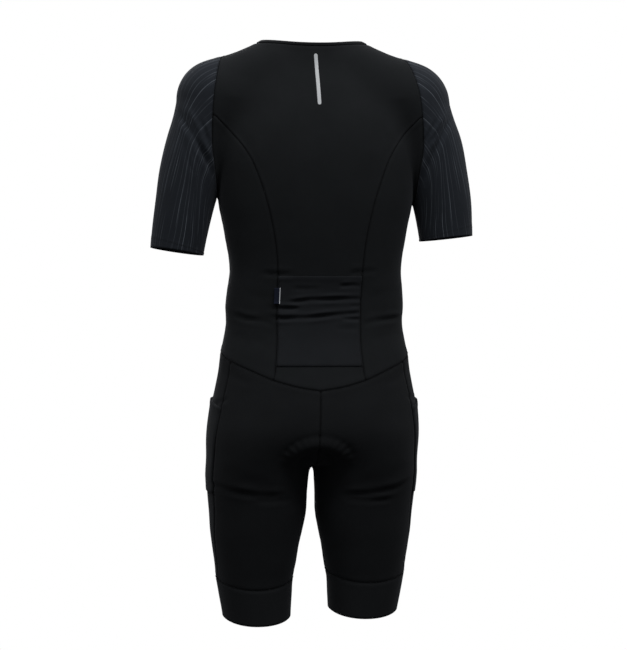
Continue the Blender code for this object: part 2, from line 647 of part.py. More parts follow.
def build_neck_binding(grids):
    """A bound edge above the neck seam, from one side of the zip round to the other."""
    left, right = grids["front_left"][-1], grids["front_right"][-1]
    seam = np.concatenate([left[::-1], grids["back_centre"][-1][1:], right[1:]])
    angles = np.degrees(np.arctan2(seam[:, 1], seam[:, 0]) + np.pi / 2) % 360 - 90
    edge = neck_point(angles, rise=BINDING_RISE / MM)
    cloth("neck_binding", np.stack([seam, edge]), BLACK_KNIT, "torso", lift=0.3 * MM,
          wall=WALL + 0.6 * MM, pull=0.3 * MM)


def build_zip(grids):
    """Tape and closed teeth as one strip, and its slider at the top with a hanging pull."""
    half = ZIP_HALF_WIDTH / MM
    left = grids["zip_edge_left"]
    rows = along(left, 18)
    heights = rows[:, 2]
    x = np.linspace(-half, half, 3)
    strip = cast(lambda r: xyz(x[None, :], -r, heights[:, None]), 160, "torso")
    cloth("zip", strip, TAPE, "torso", lift=0.3 * MM, wall=WALL + 0.3 * MM)
    return strip


def box_on(name, at, right, down, out, sizes, bevel, finish):
    """A block with its middle at `at`, sizes along right, down and out, and rounded edges."""
    made = bpy.data.meshes.new(name)
    made_object = bpy.data.objects.new(name, made)
    bpy.context.scene.collection.objects.link(made_object)
    corners = [(a, b, c) for a in (-0.5, 0.5) for b in (-0.5, 0.5) for c in (-0.5, 0.5)]
    points = [at + a * sizes[0] * right + b * sizes[1] * down + c * sizes[2] * out for a, b, c in corners]
    faces = [(0, 1, 3, 2), (4, 6, 7, 5), (0, 4, 5, 1), (2, 3, 7, 6), (0, 2, 6, 4), (1, 5, 7, 3)]
    if np.linalg.det(np.stack([right, down, out])) < 0:
        faces = [tuple(reversed(f)) for f in faces]
    made.from_pydata([tuple(map(float, p)) for p in points], [], faces)
    made.materials.append(material(name + "_finish", *finish))
    rounding = made_object.modifiers.new("rounded edges", "BEVEL")
    rounding.width, rounding.segments, rounding.limit_method = bevel, 2, "NONE"
    return made_object


def build_zip_slider(strip):
    """A slider on the teeth just under the neckline; its pull hangs from a bridge."""
    row = len(strip) - 2
    middle = strip[row, 1]
    out = slope(middle[None], "torso")[0]
    out /= np.linalg.norm(out)
    right = np.array([1.0, 0, 0])
    down = np.cross(out, right)
    down *= -np.sign(down[2])
    at = finish_place(middle[None])[0]
    box_on("zip_slider", at + out * SLIDER_LIFT, right, down, out, SLIDER_SIZE, 1.0 * MM, NICKEL)
    pivot = at + out * PULL_LIFT - down * PULL_PIVOT_RISE
    box_on("zip_pull", pivot + down * (PULL_SIZE[1] / 2 - PULL_EYE), right, down, out,
           PULL_SIZE, 0.6 * MM, NICKEL)


def build_shorts():
    for side in SIDES:
        grid, gripper = shorts_grid(side)
        keep = side + " leg"
        stops = np.cumsum((0, SEAT_COLUMNS, SIDE_COLUMNS, FRONT_LEG_COLUMNS))
        for name, a, b in zip(("seat_", "side_panel_", "front_leg_"), stops, stops[1:]):
            cloth(name + side, grid[:gripper + 1, a:b + 1], BLACK_KNIT, keep)
        cloth("leg_gripper_" + side, grid[gripper:, :-1], GRIPPER_KNIT, keep, wraps=True)
        panel = grid[:gripper + 1, stops[1]:stops[2] + 1]
        cloth("side_pocket_" + side, rows_between(panel, *SIDE_POCKET), BLACK_KNIT, keep,
              lift=WALL + LAYER_GAP, pull=0.8 * MM)


def build_pad():
    """The seat pad lies inside the crotch, along the centre seam."""
    table = smooth_table(PAD)
    rows = 13
    angles = np.linspace(PAD[0][0], PAD[-1][0], rows)
    half = table(angles)[0]
    across = np.linspace(-1, 1, 9)
    middle = centre_seam(angles)
    guess = xyz(half[:, None] * across, middle[:, 1:2], middle[:, 2:3] + 6)
    inset = (WALL + LAYER_GAP) / MM + PAD_CLEARANCE
    outer = settle(guess, "all", -inset)
    normal = slope(outer)
    normal /= np.linalg.norm(normal, axis=-1, keepdims=True)
    edge = np.minimum(1, 4 * (1 - np.abs(across)))[None, :, None]
    from_end = np.minimum(np.arange(rows), np.arange(rows)[::-1])
    ends = np.minimum(1, 4 * from_end / (rows - 1))[:, None, None]
    thick = PAD_EDGE + (PAD_THICKNESS / MM - PAD_EDGE) * edge * ends
    grid_solid("seat_pad", outer, outer - normal * thick, False, FOAM)


for old in list(bpy.data.objects):
    bpy.data.objects.remove(old, do_unlink=True)

armpit_heights()
lowest["crotch"] = float(centre_seam(np.array(90.0))[2])
panels = build_torso()
build_back_pocket(panels["back_centre"])
build_neck_binding(panels)
build_zip_slider(build_zip(panels))
build_shorts()
build_pad()
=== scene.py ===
# %% [markdown]
# # Triathlon suit
# A one-piece suit with short sleeves and mid-thigh legs, worn, seen from behind.  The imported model
# gives the frame: metres, +Z up, the back of the suit towards +Y and the wearer's left towards +X.
# Every length below is in millimetres unless its name or comment says otherwise, and MM turns it
# into Blender's metres when a mesh is made.

import bpy
import numpy as np
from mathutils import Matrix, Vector


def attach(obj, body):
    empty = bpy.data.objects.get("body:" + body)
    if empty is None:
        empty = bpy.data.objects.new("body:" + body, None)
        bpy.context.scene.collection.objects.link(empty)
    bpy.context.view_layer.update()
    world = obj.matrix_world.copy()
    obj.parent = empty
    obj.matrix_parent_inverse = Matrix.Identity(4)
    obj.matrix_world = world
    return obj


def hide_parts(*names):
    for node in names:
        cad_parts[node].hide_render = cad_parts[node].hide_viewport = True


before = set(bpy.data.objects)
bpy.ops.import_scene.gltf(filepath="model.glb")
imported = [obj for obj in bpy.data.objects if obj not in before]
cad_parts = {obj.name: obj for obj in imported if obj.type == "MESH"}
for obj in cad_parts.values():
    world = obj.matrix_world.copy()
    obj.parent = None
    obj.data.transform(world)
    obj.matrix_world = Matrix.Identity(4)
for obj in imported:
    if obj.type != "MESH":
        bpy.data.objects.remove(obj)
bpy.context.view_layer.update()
MM = 0.001
print("frame:", len(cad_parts), "nodes")

# %% [markdown]
# The cloth is knitted, so it takes the form of what it is stretched over.  A stranger's body isn't
# modelled: a general figure of ovals is enough.  Each section is one row, and smooth curves run
# through the rows, so a few numbers give a whole torso.

# %% The general figure and the cut
WALL = 1.3                  # drawn thickness of one layer of knit
LAYER_GAP = 0.4
BINDING_RISE = 5.0
ZIP_HALF_WIDTH_MM = 5.0

# One row for each section.  Depths run from the plane of the shoulder joints.
BODY = [
    # height, half width, back depth, front depth, squareness
    (-20, 104, 62, 52, 2.2),
    (-60, 126, 80, 66, 2.2),
    (-110, 148, 98, 90, 2.3),
    (-160, 159, 107, 106, 2.4),
    (-210, 158, 108, 113, 2.4),
    (-250, 153.5, 105, 113, 2.4),
    (-278, 147.5, 101, 111, 2.4),
    (-304, 143, 97, 108, 2.4),
    (-326, 139, 93, 105, 2.4),
    (-352, 137, 88, 102, 2.4),
    (-380, 140, 83, 100, 2.4),
    (-405, 142, 80, 99, 2.4),
    (-435, 141, 80, 99, 2.4),
    (-460, 145, 83, 100, 2.4),
    (-484, 150, 89, 101, 2.4),
    (-508, 153, 97, 100, 2.3),
    (-540, 159, 108, 98, 2.3),
    (-570, 165, 117, 94, 2.3),
    (-605, 166, 121, 84, 2.3),
    (-640, 163, 114, 66, 2.3),
    (-680, 150, 96, 50, 2.3),
]
LEG = [
    # height, middle from the centre line, half width, back depth, front depth
    (-560, 78, 70, 92, 74),
    (-600, 82, 78, 106, 84),
    (-640, 84, 81.5, 106, 88),
    (-672, 86, 81.5, 99, 90),
    (-701, 86, 79.5, 91, 90),
    (-736, 85, 77, 86, 88),
    (-762, 86.5, 73.5, 83, 86),
    (-787, 87.5, 69, 79, 83),
    (-813, 87.5, 65, 75, 79),
    (-838, 88.5, 61, 71, 75),
    (-864, 87, 58, 68, 71),
    (-893, 85, 54.5, 65, 68),
    (-930, 83, 52, 62, 65),
]
ARM = {
    # height, middle from the centre line, middle's depth, radius
    "left": [(-82, 153, 0, 62), (-137, 178, 2, 57), (-189, 195.5, 4, 52.5),
             (-240, 207, 5, 48), (-291, 216.5, 5, 44.5), (-335, 222.5, 4, 41.5)],
    "right": [(-82, 153, 0, 62), (-137, 178.5, 2, 57), (-189, 192, 4, 52.5),
              (-240, 203.5, 5, 47.5), (-291, 209.5, 5, 43), (-335, 213, 4, 40.5)],
}
ARM_DEPTH = 1.12            # an arm is this much deeper than wide
SHOULDER_BAR = {"neck": (56, 4, -34), "neck_radius": 55, "arm": (150, 0, -82), "arm_radius": 61}
NECK_RADIUS = 62
NECK_END = -70
LEAN = [                    # height, sideways shift of the pose
    (20, 0), (-50, -3), (-150, -6), (-300, -7), (-350, -7), (-400, -5.5), (-570, -4),
    (-640, -1), (-760, 1.5), (-930, 3),
]
BODY_TOP, BODY_TOP_ROUND = -34, 60
BODY_END, BODY_END_ROUND = -655, 70
LEG_TOP, LEG_TOP_ROUND = -575, 50
BLEND_SHOULDER, BLEND_NECK, BLEND_SEAT, BLEND_CROTCH = 46, 34, 26, 12
ARM_BLEND = [(-260, 5), (-225, 6), (-150, 30), (-60, 36)]   # height, blend of arm into body

ARMSCYE = [                 # height, distance out at mid depth, how much further out to the back
    (-250, 156.8, 0.02), (-215, 157, 0.06), (-160, 157, 0.15), (-100, 151.5, 0.18),
    (-50, 145, 0.18), (0, 140, 0.18),
]
PRINCESS = [                # height, distance from the centre back
    (-545, 77), (-520, 71), (-480, 66), (-430, 65), (-357, 66), (-320, 69), (-270, 78),
    (-220, 92), (-170, 113), (-135, 138), (-105, 168),
]
PRINCESS_TOP = -109
ARMSCYE_HALF_HEIGHT = 107.0
WAIST_SEAM = [              # angle about the hip in degrees, 90 at the back, and height
    (-115, -470), (-60, -471), (-20, -475), (10, -482), (27, -494), (50, -509), (70, -522),
    (95, -534), (111, -539),
]
HIP_MIDDLE_TOP, HIP_MIDDLE_CROTCH = 40, 86
SEAT_SEAM = [(-930, 22), (-800, 24), (-705, 33), (-575, 33), (-480, 27)]       # height, angle
SIDE_FRONT_SEAM = [(-930, -30), (-700, -34), (-480, -32)]
NECKLINE = {"back": 1, "side": 14, "front": -48}            # heights of the neck seam
NECK_SIDE_ANGLE = -14       # where the shoulder seam meets the neckline, in degrees
SHOULDER_SEAM_DEPTH = -20   # the shoulder seam lies this far in front of the ridge
SIDE_SEAM_DEPTH = -8
CUFF = {"left": ((263, -314), (180, -326)), "right": ((254, -293), (169, -302))}  # outer, inner
GRIPPER_SEAM = {"side": -832, "back": -14, "front": 2}      # height, and rise at back and front
HEM = {"side": -893, "back": -10, "front": 3}
LEG_DROP = {"left": -5, "right": 5}                         # one leg sits a little lower
# Down a sleeve, from armscye to cuff: share of the turn still to come, and middle of each ring.
SLEEVE_FAN = [(0, 1), (0.28, 0.84), (0.48, 0.71), (0.62, 0.585), (0.81, 0.34), (1, 0)]
SLEEVE_MIDDLE = [(0, 205), (0.28, 172), (0.48, 122), (0.62, 103), (0.81, 77), (1, 72)]
BACK_POCKET = (-502, -361)  # bottom and top
SIDE_POCKET = (-702, -552)
PAD = [                     # degrees round the centre seam from the back, half width of the pad
    (30, 50), (42, 66), (58, 62), (75, 42), (90, 30), (108, 30), (125, 42), (140, 48), (152, 38),
]
TAB = {"left": 62, "right": 70, "bottom": -404, "top": -379}
print("figure:", len(BODY), "torso and", len(LEG), "leg sections")


# %% [markdown]
# How finely the cloth is drawn decides which creases can be real shape.  Cells of about 3.5 mm carry
# every fold that shows; anything finer is left to the knit's bump.  All counts grow together, so
# neighbouring panels still share the same points along their seam.

# %% How finely the cloth is drawn
FINE = 7
PRINCESS_ROWS, ARMSCYE_UPPER, SHOULDER_ROWS = 15 * FINE, 4 * FINE, 3 * FINE
ARMSCYE_LOWER, ARMSCYE_FRONT = 5 * FINE, 9 * FINE
BACK_COLUMNS, FRONT_COLUMNS = 12 * FINE, 6 * FINE
SLEEVE_RINGS = 12 * FINE
SEAT_COLUMNS, SIDE_COLUMNS, FRONT_LEG_COLUMNS = 8 * FINE, 4 * FINE, 7 * FINE
HIP_ROWS, LEG_ROWS, BAND_ROWS = 8 * FINE, 7 * FINE, 2 * FINE
EDGE_FADE = 4.0             # how soon heights inside a panel forget a bowed edge
print("fineness", FINE, "gives", PRINCESS_ROWS, "rows up the long back seam")

# %% [markdown]
# A smooth signed distance makes blends easy: the smaller of two distances is their union, and a
# rounded minimum melts them together.  Points then slide along the distance's slope until they lie
# on the surface.  This is quicker to get right than joining many separate lofts by hand.

# %% Smooth tables and the figure
def smooth_table(rows):
    """The columns of a table as one smooth function of its first column."""
    table = np.array(sorted(rows), float)
    knots, values = table[:, 0], table[:, 1:]
    slopes = np.gradient(values, knots, axis=0)

    def at(place):
        place = np.clip(place, knots[0], knots[-1])
        low = np.clip(np.searchsorted(knots, place) - 1, 0, len(knots) - 2)
        span = knots[low + 1] - knots[low]
        t = ((place - knots[low]) / span)[..., None]
        span = span[..., None]
        out = (values[low] * (1 + 2 * t) * (1 - t) ** 2 + values[low + 1] * t * t * (3 - 2 * t)
               + span * (slopes[low] * t * (1 - t) ** 2 - slopes[low + 1] * t * t * (1 - t)))
        return [out[..., i] for i in range(out.shape[-1])]
    return at


body_at, leg_at = smooth_table(BODY), smooth_table(LEG)
arm_at = {side: smooth_table(rows) for side, rows in ARM.items()}
lean_at, arm_blend_at = smooth_table(LEAN), smooth_table(ARM_BLEND)
armscye_at, princess_at = smooth_table(ARMSCYE), smooth_table(PRINCESS)
waist_at, seat_seam_at = smooth_table(WAIST_SEAM), smooth_table(SEAT_SEAM)
side_front_at, fan_turn_at = smooth_table(SIDE_FRONT_SEAM), smooth_table(SLEEVE_FAN)
fan_middle_at = smooth_table(SLEEVE_MIDDLE)
SIDES = {"left": 1.0, "right": -1.0}
lowest = {"left": -400.0, "right": -400.0, "crotch": -800.0}     # armpits and crotch, found below


def join(a, b, blend):
    """Union of two distances, rounded over the length `blend`."""
    h = np.maximum(blend - np.abs(a - b), 0) / blend
    return np.minimum(a, b) - h ** 3 * blend / 6


def meet(a, b, blend):
    """What two distances have in common, rounded over the length `blend`."""
    return -join(-a, -b, blend)


def oval(x, y, half_width, back, front, squareness):
    """Distance, in plan, to an oval with its own back and front depth."""
    depth = np.where(y > 0, back, front)
    u, v = np.abs(x) / half_width + 1e-9, np.abs(y) / depth + 1e-9
    q = (u ** squareness + v ** squareness) ** (1 / squareness)
    gu = (u / q) ** (squareness - 1) / half_width
    gv = (v / q) ** (squareness - 1) / depth
    return (q - 1) / np.hypot(gu, gv)


def figure(p, keep="all"):
    """Distance to the general figure.  `keep` leaves out, below an armpit or the crotch, all that
    a panel doesn't lie on: "torso" leaves out the arms, "left arm" all but that arm, and
    "left leg" the other leg."""
    x, y, z = p[..., 0], p[..., 1], p[..., 2]
    half_width, back, front, squareness = body_at(z)
    core = oval(x, y, half_width, back, front, squareness)
    core = meet(core, z - BODY_TOP, BODY_TOP_ROUND)
    core = meet(core, BODY_END - z, BODY_END_ROUND)
    for sign in SIDES.values():
        a, b = np.array(SHOULDER_BAR["neck"], float), np.array(SHOULDER_BAR["arm"], float)
        a[0], b[0] = a[0] * sign, b[0] * sign
        t = np.clip(((p - a) @ (b - a)) / ((b - a) @ (b - a)), 0, 1)
        radius = SHOULDER_BAR["neck_radius"] * (1 - t) + SHOULDER_BAR["arm_radius"] * t
        bar = np.linalg.norm(p - a - t[..., None] * (b - a), axis=-1) - radius
        core = join(core, bar, BLEND_SHOULDER)
    neck = meet(np.hypot(x, y + 0.12 * z + 2) - NECK_RADIUS, NECK_END - z, BLEND_NECK)
    core = join(core, neck, BLEND_NECK)
    legs = None
    for side, sign in SIDES.items():
        middle, half_width, back, front = leg_at(z)
        leg = oval(x * sign - middle, y, half_width, back, front, 2.2)
        leg = meet(leg, z - LEG_TOP, LEG_TOP_ROUND)
        if keep.endswith("leg") and not keep.startswith(side):
            leg = leg + 4 * np.maximum(lowest["crotch"] - z, 0)
        legs = leg if legs is None else join(legs, leg, BLEND_CROTCH)
    whole = join(core, legs, BLEND_SEAT)
    blend = arm_blend_at(z)[0]
    for side, sign in SIDES.items():
        under_arm = 4 * np.maximum(lowest[side] - z, 0)
        at = np.minimum(z, ARM[side][0][0])
        middle, depth, radius = arm_at[side](at)
        arm = np.sqrt((x * sign - middle) ** 2 + ((y - depth) / ARM_DEPTH) ** 2 + (z - at) ** 2) - radius
        if keep == side + " arm":
            whole = whole + under_arm
        elif keep == "torso":
            arm = arm + under_arm
        whole = join(whole, arm, blend)
    return whole


def slope(p, keep="all"):
    """The outward direction of the figure's surface."""
    step = 0.5
    change = [figure(p + step * axis, keep) - figure(p - step * axis, keep) for axis in np.eye(3)]
    return np.stack(change, -1) / (2 * step)


def settle(p, keep="all", level=0.0):
    """Moves points along the slope until they lie on the figure, or `level` outside it."""
    for _ in range(14):
        g = slope(p, keep)
        move = ((figure(p, keep) - level) / np.maximum((g * g).sum(-1), 0.05))[..., None] * g
        length = np.linalg.norm(move, axis=-1, keepdims=True)
        p = p - move * np.minimum(1, 14 / np.maximum(length, 1e-9))
    return p


# %% [markdown]
# A seam is drawn by casting: a path starts inside the figure and the first point where it comes out
# lies on the cloth.  The rest are small helpers that space points along a line or round the body's
# axis, and `patch`, which fills four edges with a grid and lays it on the figure.

# %% Casting points and filling patches
def cast(path, reach, keep="all"):
    """The first point where path(r) leaves the figure, for r from 0 to `reach`."""
    steps = 90
    low = np.zeros(np.shape(path(0.0))[:-1])
    found = np.zeros(low.shape, bool)
    for k in range(1, steps + 1):
        r = reach * k / steps
        outside = figure(path(np.full(low.shape, r)), keep) > 0
        found |= outside
        low = np.where(found, low, r)
    high = low + reach / steps
    for _ in range(20):
        middle = (low + high) / 2
        outside = figure(path(middle), keep) > 0
        low, high = np.where(outside, low, middle), np.where(outside, middle, high)
    return path((low + high) / 2)


def along(curve, count, start=0.0, end=1.0):
    """`count` + 1 points evenly along a line of points, between two fractions of its length."""
    length = np.r_[0, np.cumsum(np.linalg.norm(np.diff(curve, axis=0), axis=1))]
    want = np.linspace(start, end, count + 1) * length[-1]
    return np.stack([np.interp(want, length, curve[:, i]) for i in range(3)], -1)


def spread(stops, counts):
    """Values between neighbouring stops, with each stop once."""
    parts = [np.linspace(a, b, n, endpoint=False) for a, b, n in zip(stops, stops[1:], counts)]
    return np.r_[np.concatenate(parts), stops[-1]]


def xyz(x, y, z):
    """Points from three coordinates that may be arrays or single numbers."""
    return np.stack(np.broadcast_arrays(np.asarray(x, float), y, z), -1)


def round_axis(p):
    """Angle, radius and height; the angle runs from -90 to 270 with the centre back at 90."""
    angle = (np.degrees(np.arctan2(p[..., 1], p[..., 0])) + 90) % 360 - 90
    return xyz(angle, np.hypot(p[..., 0], p[..., 1]), p[..., 2])


def filled(bottom, top, first, last):
    """Coordinates spread between four edges.  Heights forget a bowed bottom or top edge sooner."""
    u = np.linspace(0, 1, len(bottom))[None, :, None]
    v = np.linspace(0, 1, len(first))[:, None, None]
    fade = np.array([1.0, 1.0, EDGE_FADE])
    return ((1 - u) * first[:, None] + u * last[:, None]
            + (1 - v) ** fade * (bottom - (1 - u[0]) * bottom[0] - u[0] * bottom[-1])
            + v ** fade * (top - (1 - u[0]) * top[0] - u[0] * top[-1]))


def patch(bottom, top, first, last, shoulder=True, keep="torso"):
    """A grid of points between four edges, laid on the figure.  Its own edges stay as they are.

    The rows are spread round the body's axis, and straight across on the way up a shoulder."""
    grid = filled(*(round_axis(edge) for edge in (bottom, top, first, last)))
    angle = np.radians(grid[..., 0])
    grid = xyz(grid[..., 1] * np.cos(angle), grid[..., 1] * np.sin(angle), grid[..., 2])
    if shoulder:
        t = np.clip((np.linspace(0, 1, len(first)) - 0.4) / 0.3, 0, 1)[:, None, None]
        t = t * t * (3 - 2 * t)
        grid = grid * (1 - t) + filled(bottom, top, first, last) * t
    grid = settle(grid, keep)
    grid[0], grid[-1], grid[:, 0], grid[:, -1] = bottom, top, first, last
    return grid


# %% [markdown]
# A sleeve is a fan of rings.  The first is the armscye, nearly upright beside the chest, and the last
# is the cuff, square to the arm; the rings between turn gradually, so the columns run down the arm
# as the knit's stripes do.  The other seam lines follow: crotch, hip, waist and neck.

# %% Rings and seam lines
def sleeve_ring(side, s, angles):
    """One ring of a sleeve: the armscye at s = 0 and the cuff at s = 1.  Angle 0 is the top."""
    sign = SIDES[side]
    (out_x, out_z), (in_x, in_z) = CUFF[side]
    tilt = np.arctan2(out_z - in_z, out_x - in_x)
    hub_x = ARMSCYE[1][1] - 3
    hub_z = in_z - (in_x - hub_x) * np.tan(tilt)
    turn = tilt + (np.pi / 2 - tilt) * fan_turn_at(np.array(s))[0]
    middle = fan_middle_at(np.array(s))[0]
    up_x, up_z = np.cos(turn), np.sin(turn)
    c, d = np.cos(np.radians(angles)), np.sin(np.radians(angles))

    def path(r):
        reach = middle + r * c
        y = r * d + 2
        z = hub_z + reach * up_z
        x = hub_x + reach * up_x
        seam_x, seam_turn = armscye_at(z)
        x = x + (seam_x + seam_turn * y - hub_x) * (1 - s) ** 2
        return xyz(x * sign, y, z)
    return cast(path, 150, side + " arm")


def armpit_heights():
    """Finds each armpit: the lowest point of the armscye."""
    for side in SIDES:
        lowest[side] = float(sleeve_ring(side, 0.0, np.array([180.0]))[0, 2])


def centre_seam(angle):
    """A point of the shorts' centre seam: 0 is the back waist, 90 the crotch, 180 the front waist."""
    a = np.radians(angle)
    back_z, front_z = WAIST_SEAM[-1][1], WAIST_SEAM[0][1]
    t = np.clip((np.asarray(angle, float) - 90) / 90, 0, 1)
    z0 = back_z + (front_z - back_z) * t * t * (3 - 2 * t)
    return cast(lambda r: xyz(0.0, 4 + r * np.cos(a), z0 - r * np.sin(a)), 160)


def hip_point(side, height, middle, angle, keep):
    """The point of one side's shorts at a height and an angle about the hip's middle."""
    a = np.radians(angle)
    return cast(lambda r: xyz(SIDES[side] * (middle + r * np.cos(a)), r * np.sin(a), height), 190, keep)


def waist_line(side):
    """Half of the waist seam, from the centre back round the side to the centre front."""
    back, front = centre_seam(np.array(0.0)), centre_seam(np.array(180.0))
    ends = [np.degrees(np.arctan2(p[1], -HIP_MIDDLE_TOP)) for p in (back, front)]
    angles = np.linspace(ends[0], ends[1], 240)
    line = hip_point(side, waist_at(angles)[0], HIP_MIDDLE_TOP, angles, "torso")
    line[0], line[-1] = back, front
    return line


def neck_point(angle, rise=0.0):
    """A point of the neckline, `rise` above the neck seam, at an angle about the neck."""
    side = np.radians(NECK_SIDE_ANGLE)
    a = np.radians(angle)
    tall = np.sin(a)
    lift = np.sin(side)
    t_back = np.clip((tall - lift) / (1 - lift), 0, 1)
    t_front = np.clip((lift - tall) / (1 + lift), 0, 1)
    z = (NECKLINE["side"] + (NECKLINE["back"] - NECKLINE["side"]) * t_back ** 1.3
         + (NECKLINE["front"] - NECKLINE["side"]) * t_front ** 1.15) + rise
    return cast(lambda r: xyz(r * np.cos(a), r * np.sin(a), z), 160, "torso")


def cut_line(curve, place):
    """Fraction of a curve's length where `place(point)` first changes sign."""
    value = place(curve)
    k = int(np.flatnonzero(np.sign(value[:-1]) != np.sign(value[1:]))[0])
    length = np.r_[0, np.cumsum(np.linalg.norm(np.diff(curve, axis=0), axis=1))]
    t = value[k] / (value[k] - value[k + 1])
    return (length[k] + t * (length[k + 1] - length[k])) / length[-1]


# %% [markdown]
# The torso is cut like the real garment: one wide back, two back sides under the armpits, and two
# fronts that meet at the zip.  Each panel gets its four edges from the seam lines, and neighbours
# take the very same edge, so nothing gapes.

# %% Torso panels and sleeves
def sleeve_rings(side):
    """A sleeve's rings, smoothed down the arm, and its first ring: the armscye."""
    top_angle = np.degrees(np.arctan2(SHOULDER_SEAM_DEPTH, ARMSCYE_HALF_HEIGHT))
    trial = np.linspace(0, 180, 400)
    heights = sleeve_ring(side, 0.0, trial)[:, 2]
    join_angle = trial[np.argmin(np.abs(heights - PRINCESS_TOP))]
    counts = (ARMSCYE_UPPER, ARMSCYE_LOWER, ARMSCYE_FRONT)
    angles = spread((top_angle, join_angle, 180.0, 360.0 + top_angle), counts)
    rings = [sleeve_ring(side, s, angles[:-1]) for s in np.linspace(0, 1, SLEEVE_RINGS + 1)]
    sleeve = np.stack(rings)
    for _ in range(3 * FINE * FINE):
        sleeve[1:-1] = (sleeve[:-2] + 2 * sleeve[1:-1] + sleeve[2:]) / 4
    sleeve[1:-1] = settle(sleeve[1:-1], side + " arm")
    return sleeve, rings[0]


def princess_line(sign, start, end):
    """The long curved back seam, from the waist up to the armscye."""
    heights = np.linspace(start[2], PRINCESS_TOP, 90)
    x = sign * princess_at(heights)[0]
    line = cast(lambda r: xyz(x, r, heights), 150, "torso")
    line[0], line[-1] = start, end
    return along(line, PRINCESS_ROWS)


def side_line(sign, start, armpit):
    """The side seam, from the waist up to the armpit."""
    heights = np.linspace(start[2], armpit[2], 60)
    depths = np.linspace(start[1], armpit[1], 60)
    line = settle(xyz(sign * body_at(heights)[0], depths, heights), "torso")
    line[0], line[-1] = start, armpit
    return along(line, PRINCESS_ROWS)


def shoulder_line(sign, start):
    """The shoulder seam, from the armscye's top in to the neckline."""
    neck = neck_point(np.array(NECK_SIDE_ANGLE if sign > 0 else 180 - NECK_SIDE_ANGLE, float))
    t = np.linspace(0, 1, 30)
    x = start[0] + (neck[0] - start[0]) * t
    y = start[1] + (neck[1] - start[1]) * t
    line = cast(lambda r: xyz(x, y, -60 + r), 120, "torso")
    line[0], line[-1] = start, neck
    return along(line, SHOULDER_ROWS)


def front_panel(sign, hem, outer):
    """A front half between its hem, its outer edge, the neckline and the zip, and its zip edge."""
    angles = np.linspace(NECK_SIDE_ANGLE, -90, 60)
    throat = neck_point(angles if sign > 0 else 180 - angles)
    at_zip = cut_line(throat, lambda p: np.abs(p[:, 0]) - ZIP_HALF_WIDTH_MM)
    throat = along(throat, FRONT_COLUMNS, 0, at_zip)
    heights = np.linspace(hem[-1][2], throat[-1][2], 90)
    zip_edge = cast(lambda r: xyz(sign * ZIP_HALF_WIDTH_MM, -r, heights), 160, "torso")
    zip_edge[0], zip_edge[-1] = hem[-1], throat[-1]
    return patch(hem, throat, outer, along(zip_edge, len(outer) - 1)), zip_edge


def torso_panels():
    """Grids of the back, the two back sides and the two fronts, and each side's sleeve."""
    grids, edges = {}, {}
    for side, sign in SIDES.items():
        grids["sleeve_" + side], ring = sleeve_rings(side)
        loop = np.concatenate([ring, ring[:1]])
        upper = loop[:ARMSCYE_UPPER + 1]
        lower = loop[ARMSCYE_UPPER:ARMSCYE_UPPER + ARMSCYE_LOWER + 1]
        front = loop[ARMSCYE_UPPER + ARMSCYE_LOWER:]

        waist = waist_line(side)
        at_princess = cut_line(waist, lambda p: np.abs(p[:, 0]) - princess_at(p[:, 2])[0])
        at_side = cut_line(waist, lambda p: p[:, 1] - SIDE_SEAM_DEPTH)
        at_zip = 1 - cut_line(waist[::-1], lambda p: np.abs(p[:, 0]) - ZIP_HALF_WIDTH_MM)
        princess = princess_line(sign, along(waist, 1, 0, at_princess)[-1], upper[-1])
        side_seam = side_line(sign, along(waist, 1, 0, at_side)[-1], lower[-1])
        shoulder = shoulder_line(sign, upper[0])

        grids["back_side_" + side] = patch(along(waist, ARMSCYE_LOWER, at_princess, at_side),
                                           lower, princess, side_seam, shoulder=False)
        hem = along(waist, FRONT_COLUMNS, at_side, at_zip)
        outer = np.concatenate([side_seam, front[1:], shoulder[1:]])
        grids["front_" + side], grids["zip_edge_" + side] = front_panel(sign, hem, outer)
        edges[side] = (np.concatenate([princess, upper[::-1][1:], shoulder[1:]]), waist, at_princess)

    half = BACK_COLUMNS // 2
    angles = np.linspace(NECK_SIDE_ANGLE, 180 - NECK_SIDE_ANGLE, 121)
    nape = along(neck_point(angles), BACK_COLUMNS)
    low = {side: along(edges[side][1], half, 0, edges[side][2]) for side in SIDES}
    heights = np.r_[np.linspace(low["left"][0][2], PRINCESS_TOP, PRINCESS_ROWS + 1),
                    np.linspace(PRINCESS_TOP, nape[half][2], ARMSCYE_UPPER + SHOULDER_ROWS + 1)[1:]]
    middle = cast(lambda r: xyz(0.0, r, heights), 150, "torso")
    middle[0], middle[-1] = low["left"][0], nape[half]
    left = patch(low["left"][::-1], nape[:half + 1], edges["left"][0], middle)
    right = patch(low["right"], nape[half:], middle, edges["right"][0])
    grids["back_centre"] = np.concatenate([left, right[:, 1:]], axis=1)
    return grids


# %% [markdown]
# Each half of the shorts is one grid, wrapped round the hip above the crotch and round the leg below
# it.  Columns at fixed places are the seams between seat, side panel and front leg.

# %% Shorts
def band_height(band, side, angle):
    """Height of the gripper seam or the hem round a leg; 90 degrees is the back."""
    lift = np.sin(np.radians(angle))
    rise = np.where(lift > 0, band["back"] * lift ** 2, band["front"] * lift ** 2)
    return band["side"] + LEG_DROP[side] + rise


def mended(row, side, keep):
    """Beside the crotch some rays run past the centre line; their points are spread anew."""
    index, good = np.arange(len(row)), row[:, 0] * SIDES[side] > 2
    good[0] = good[-1] = True
    if good.all():
        return row
    spaced = np.stack([np.interp(index, index[good], row[good, i]) for i in range(3)], -1)
    row[~good] = settle(spaced[~good], keep)
    return row


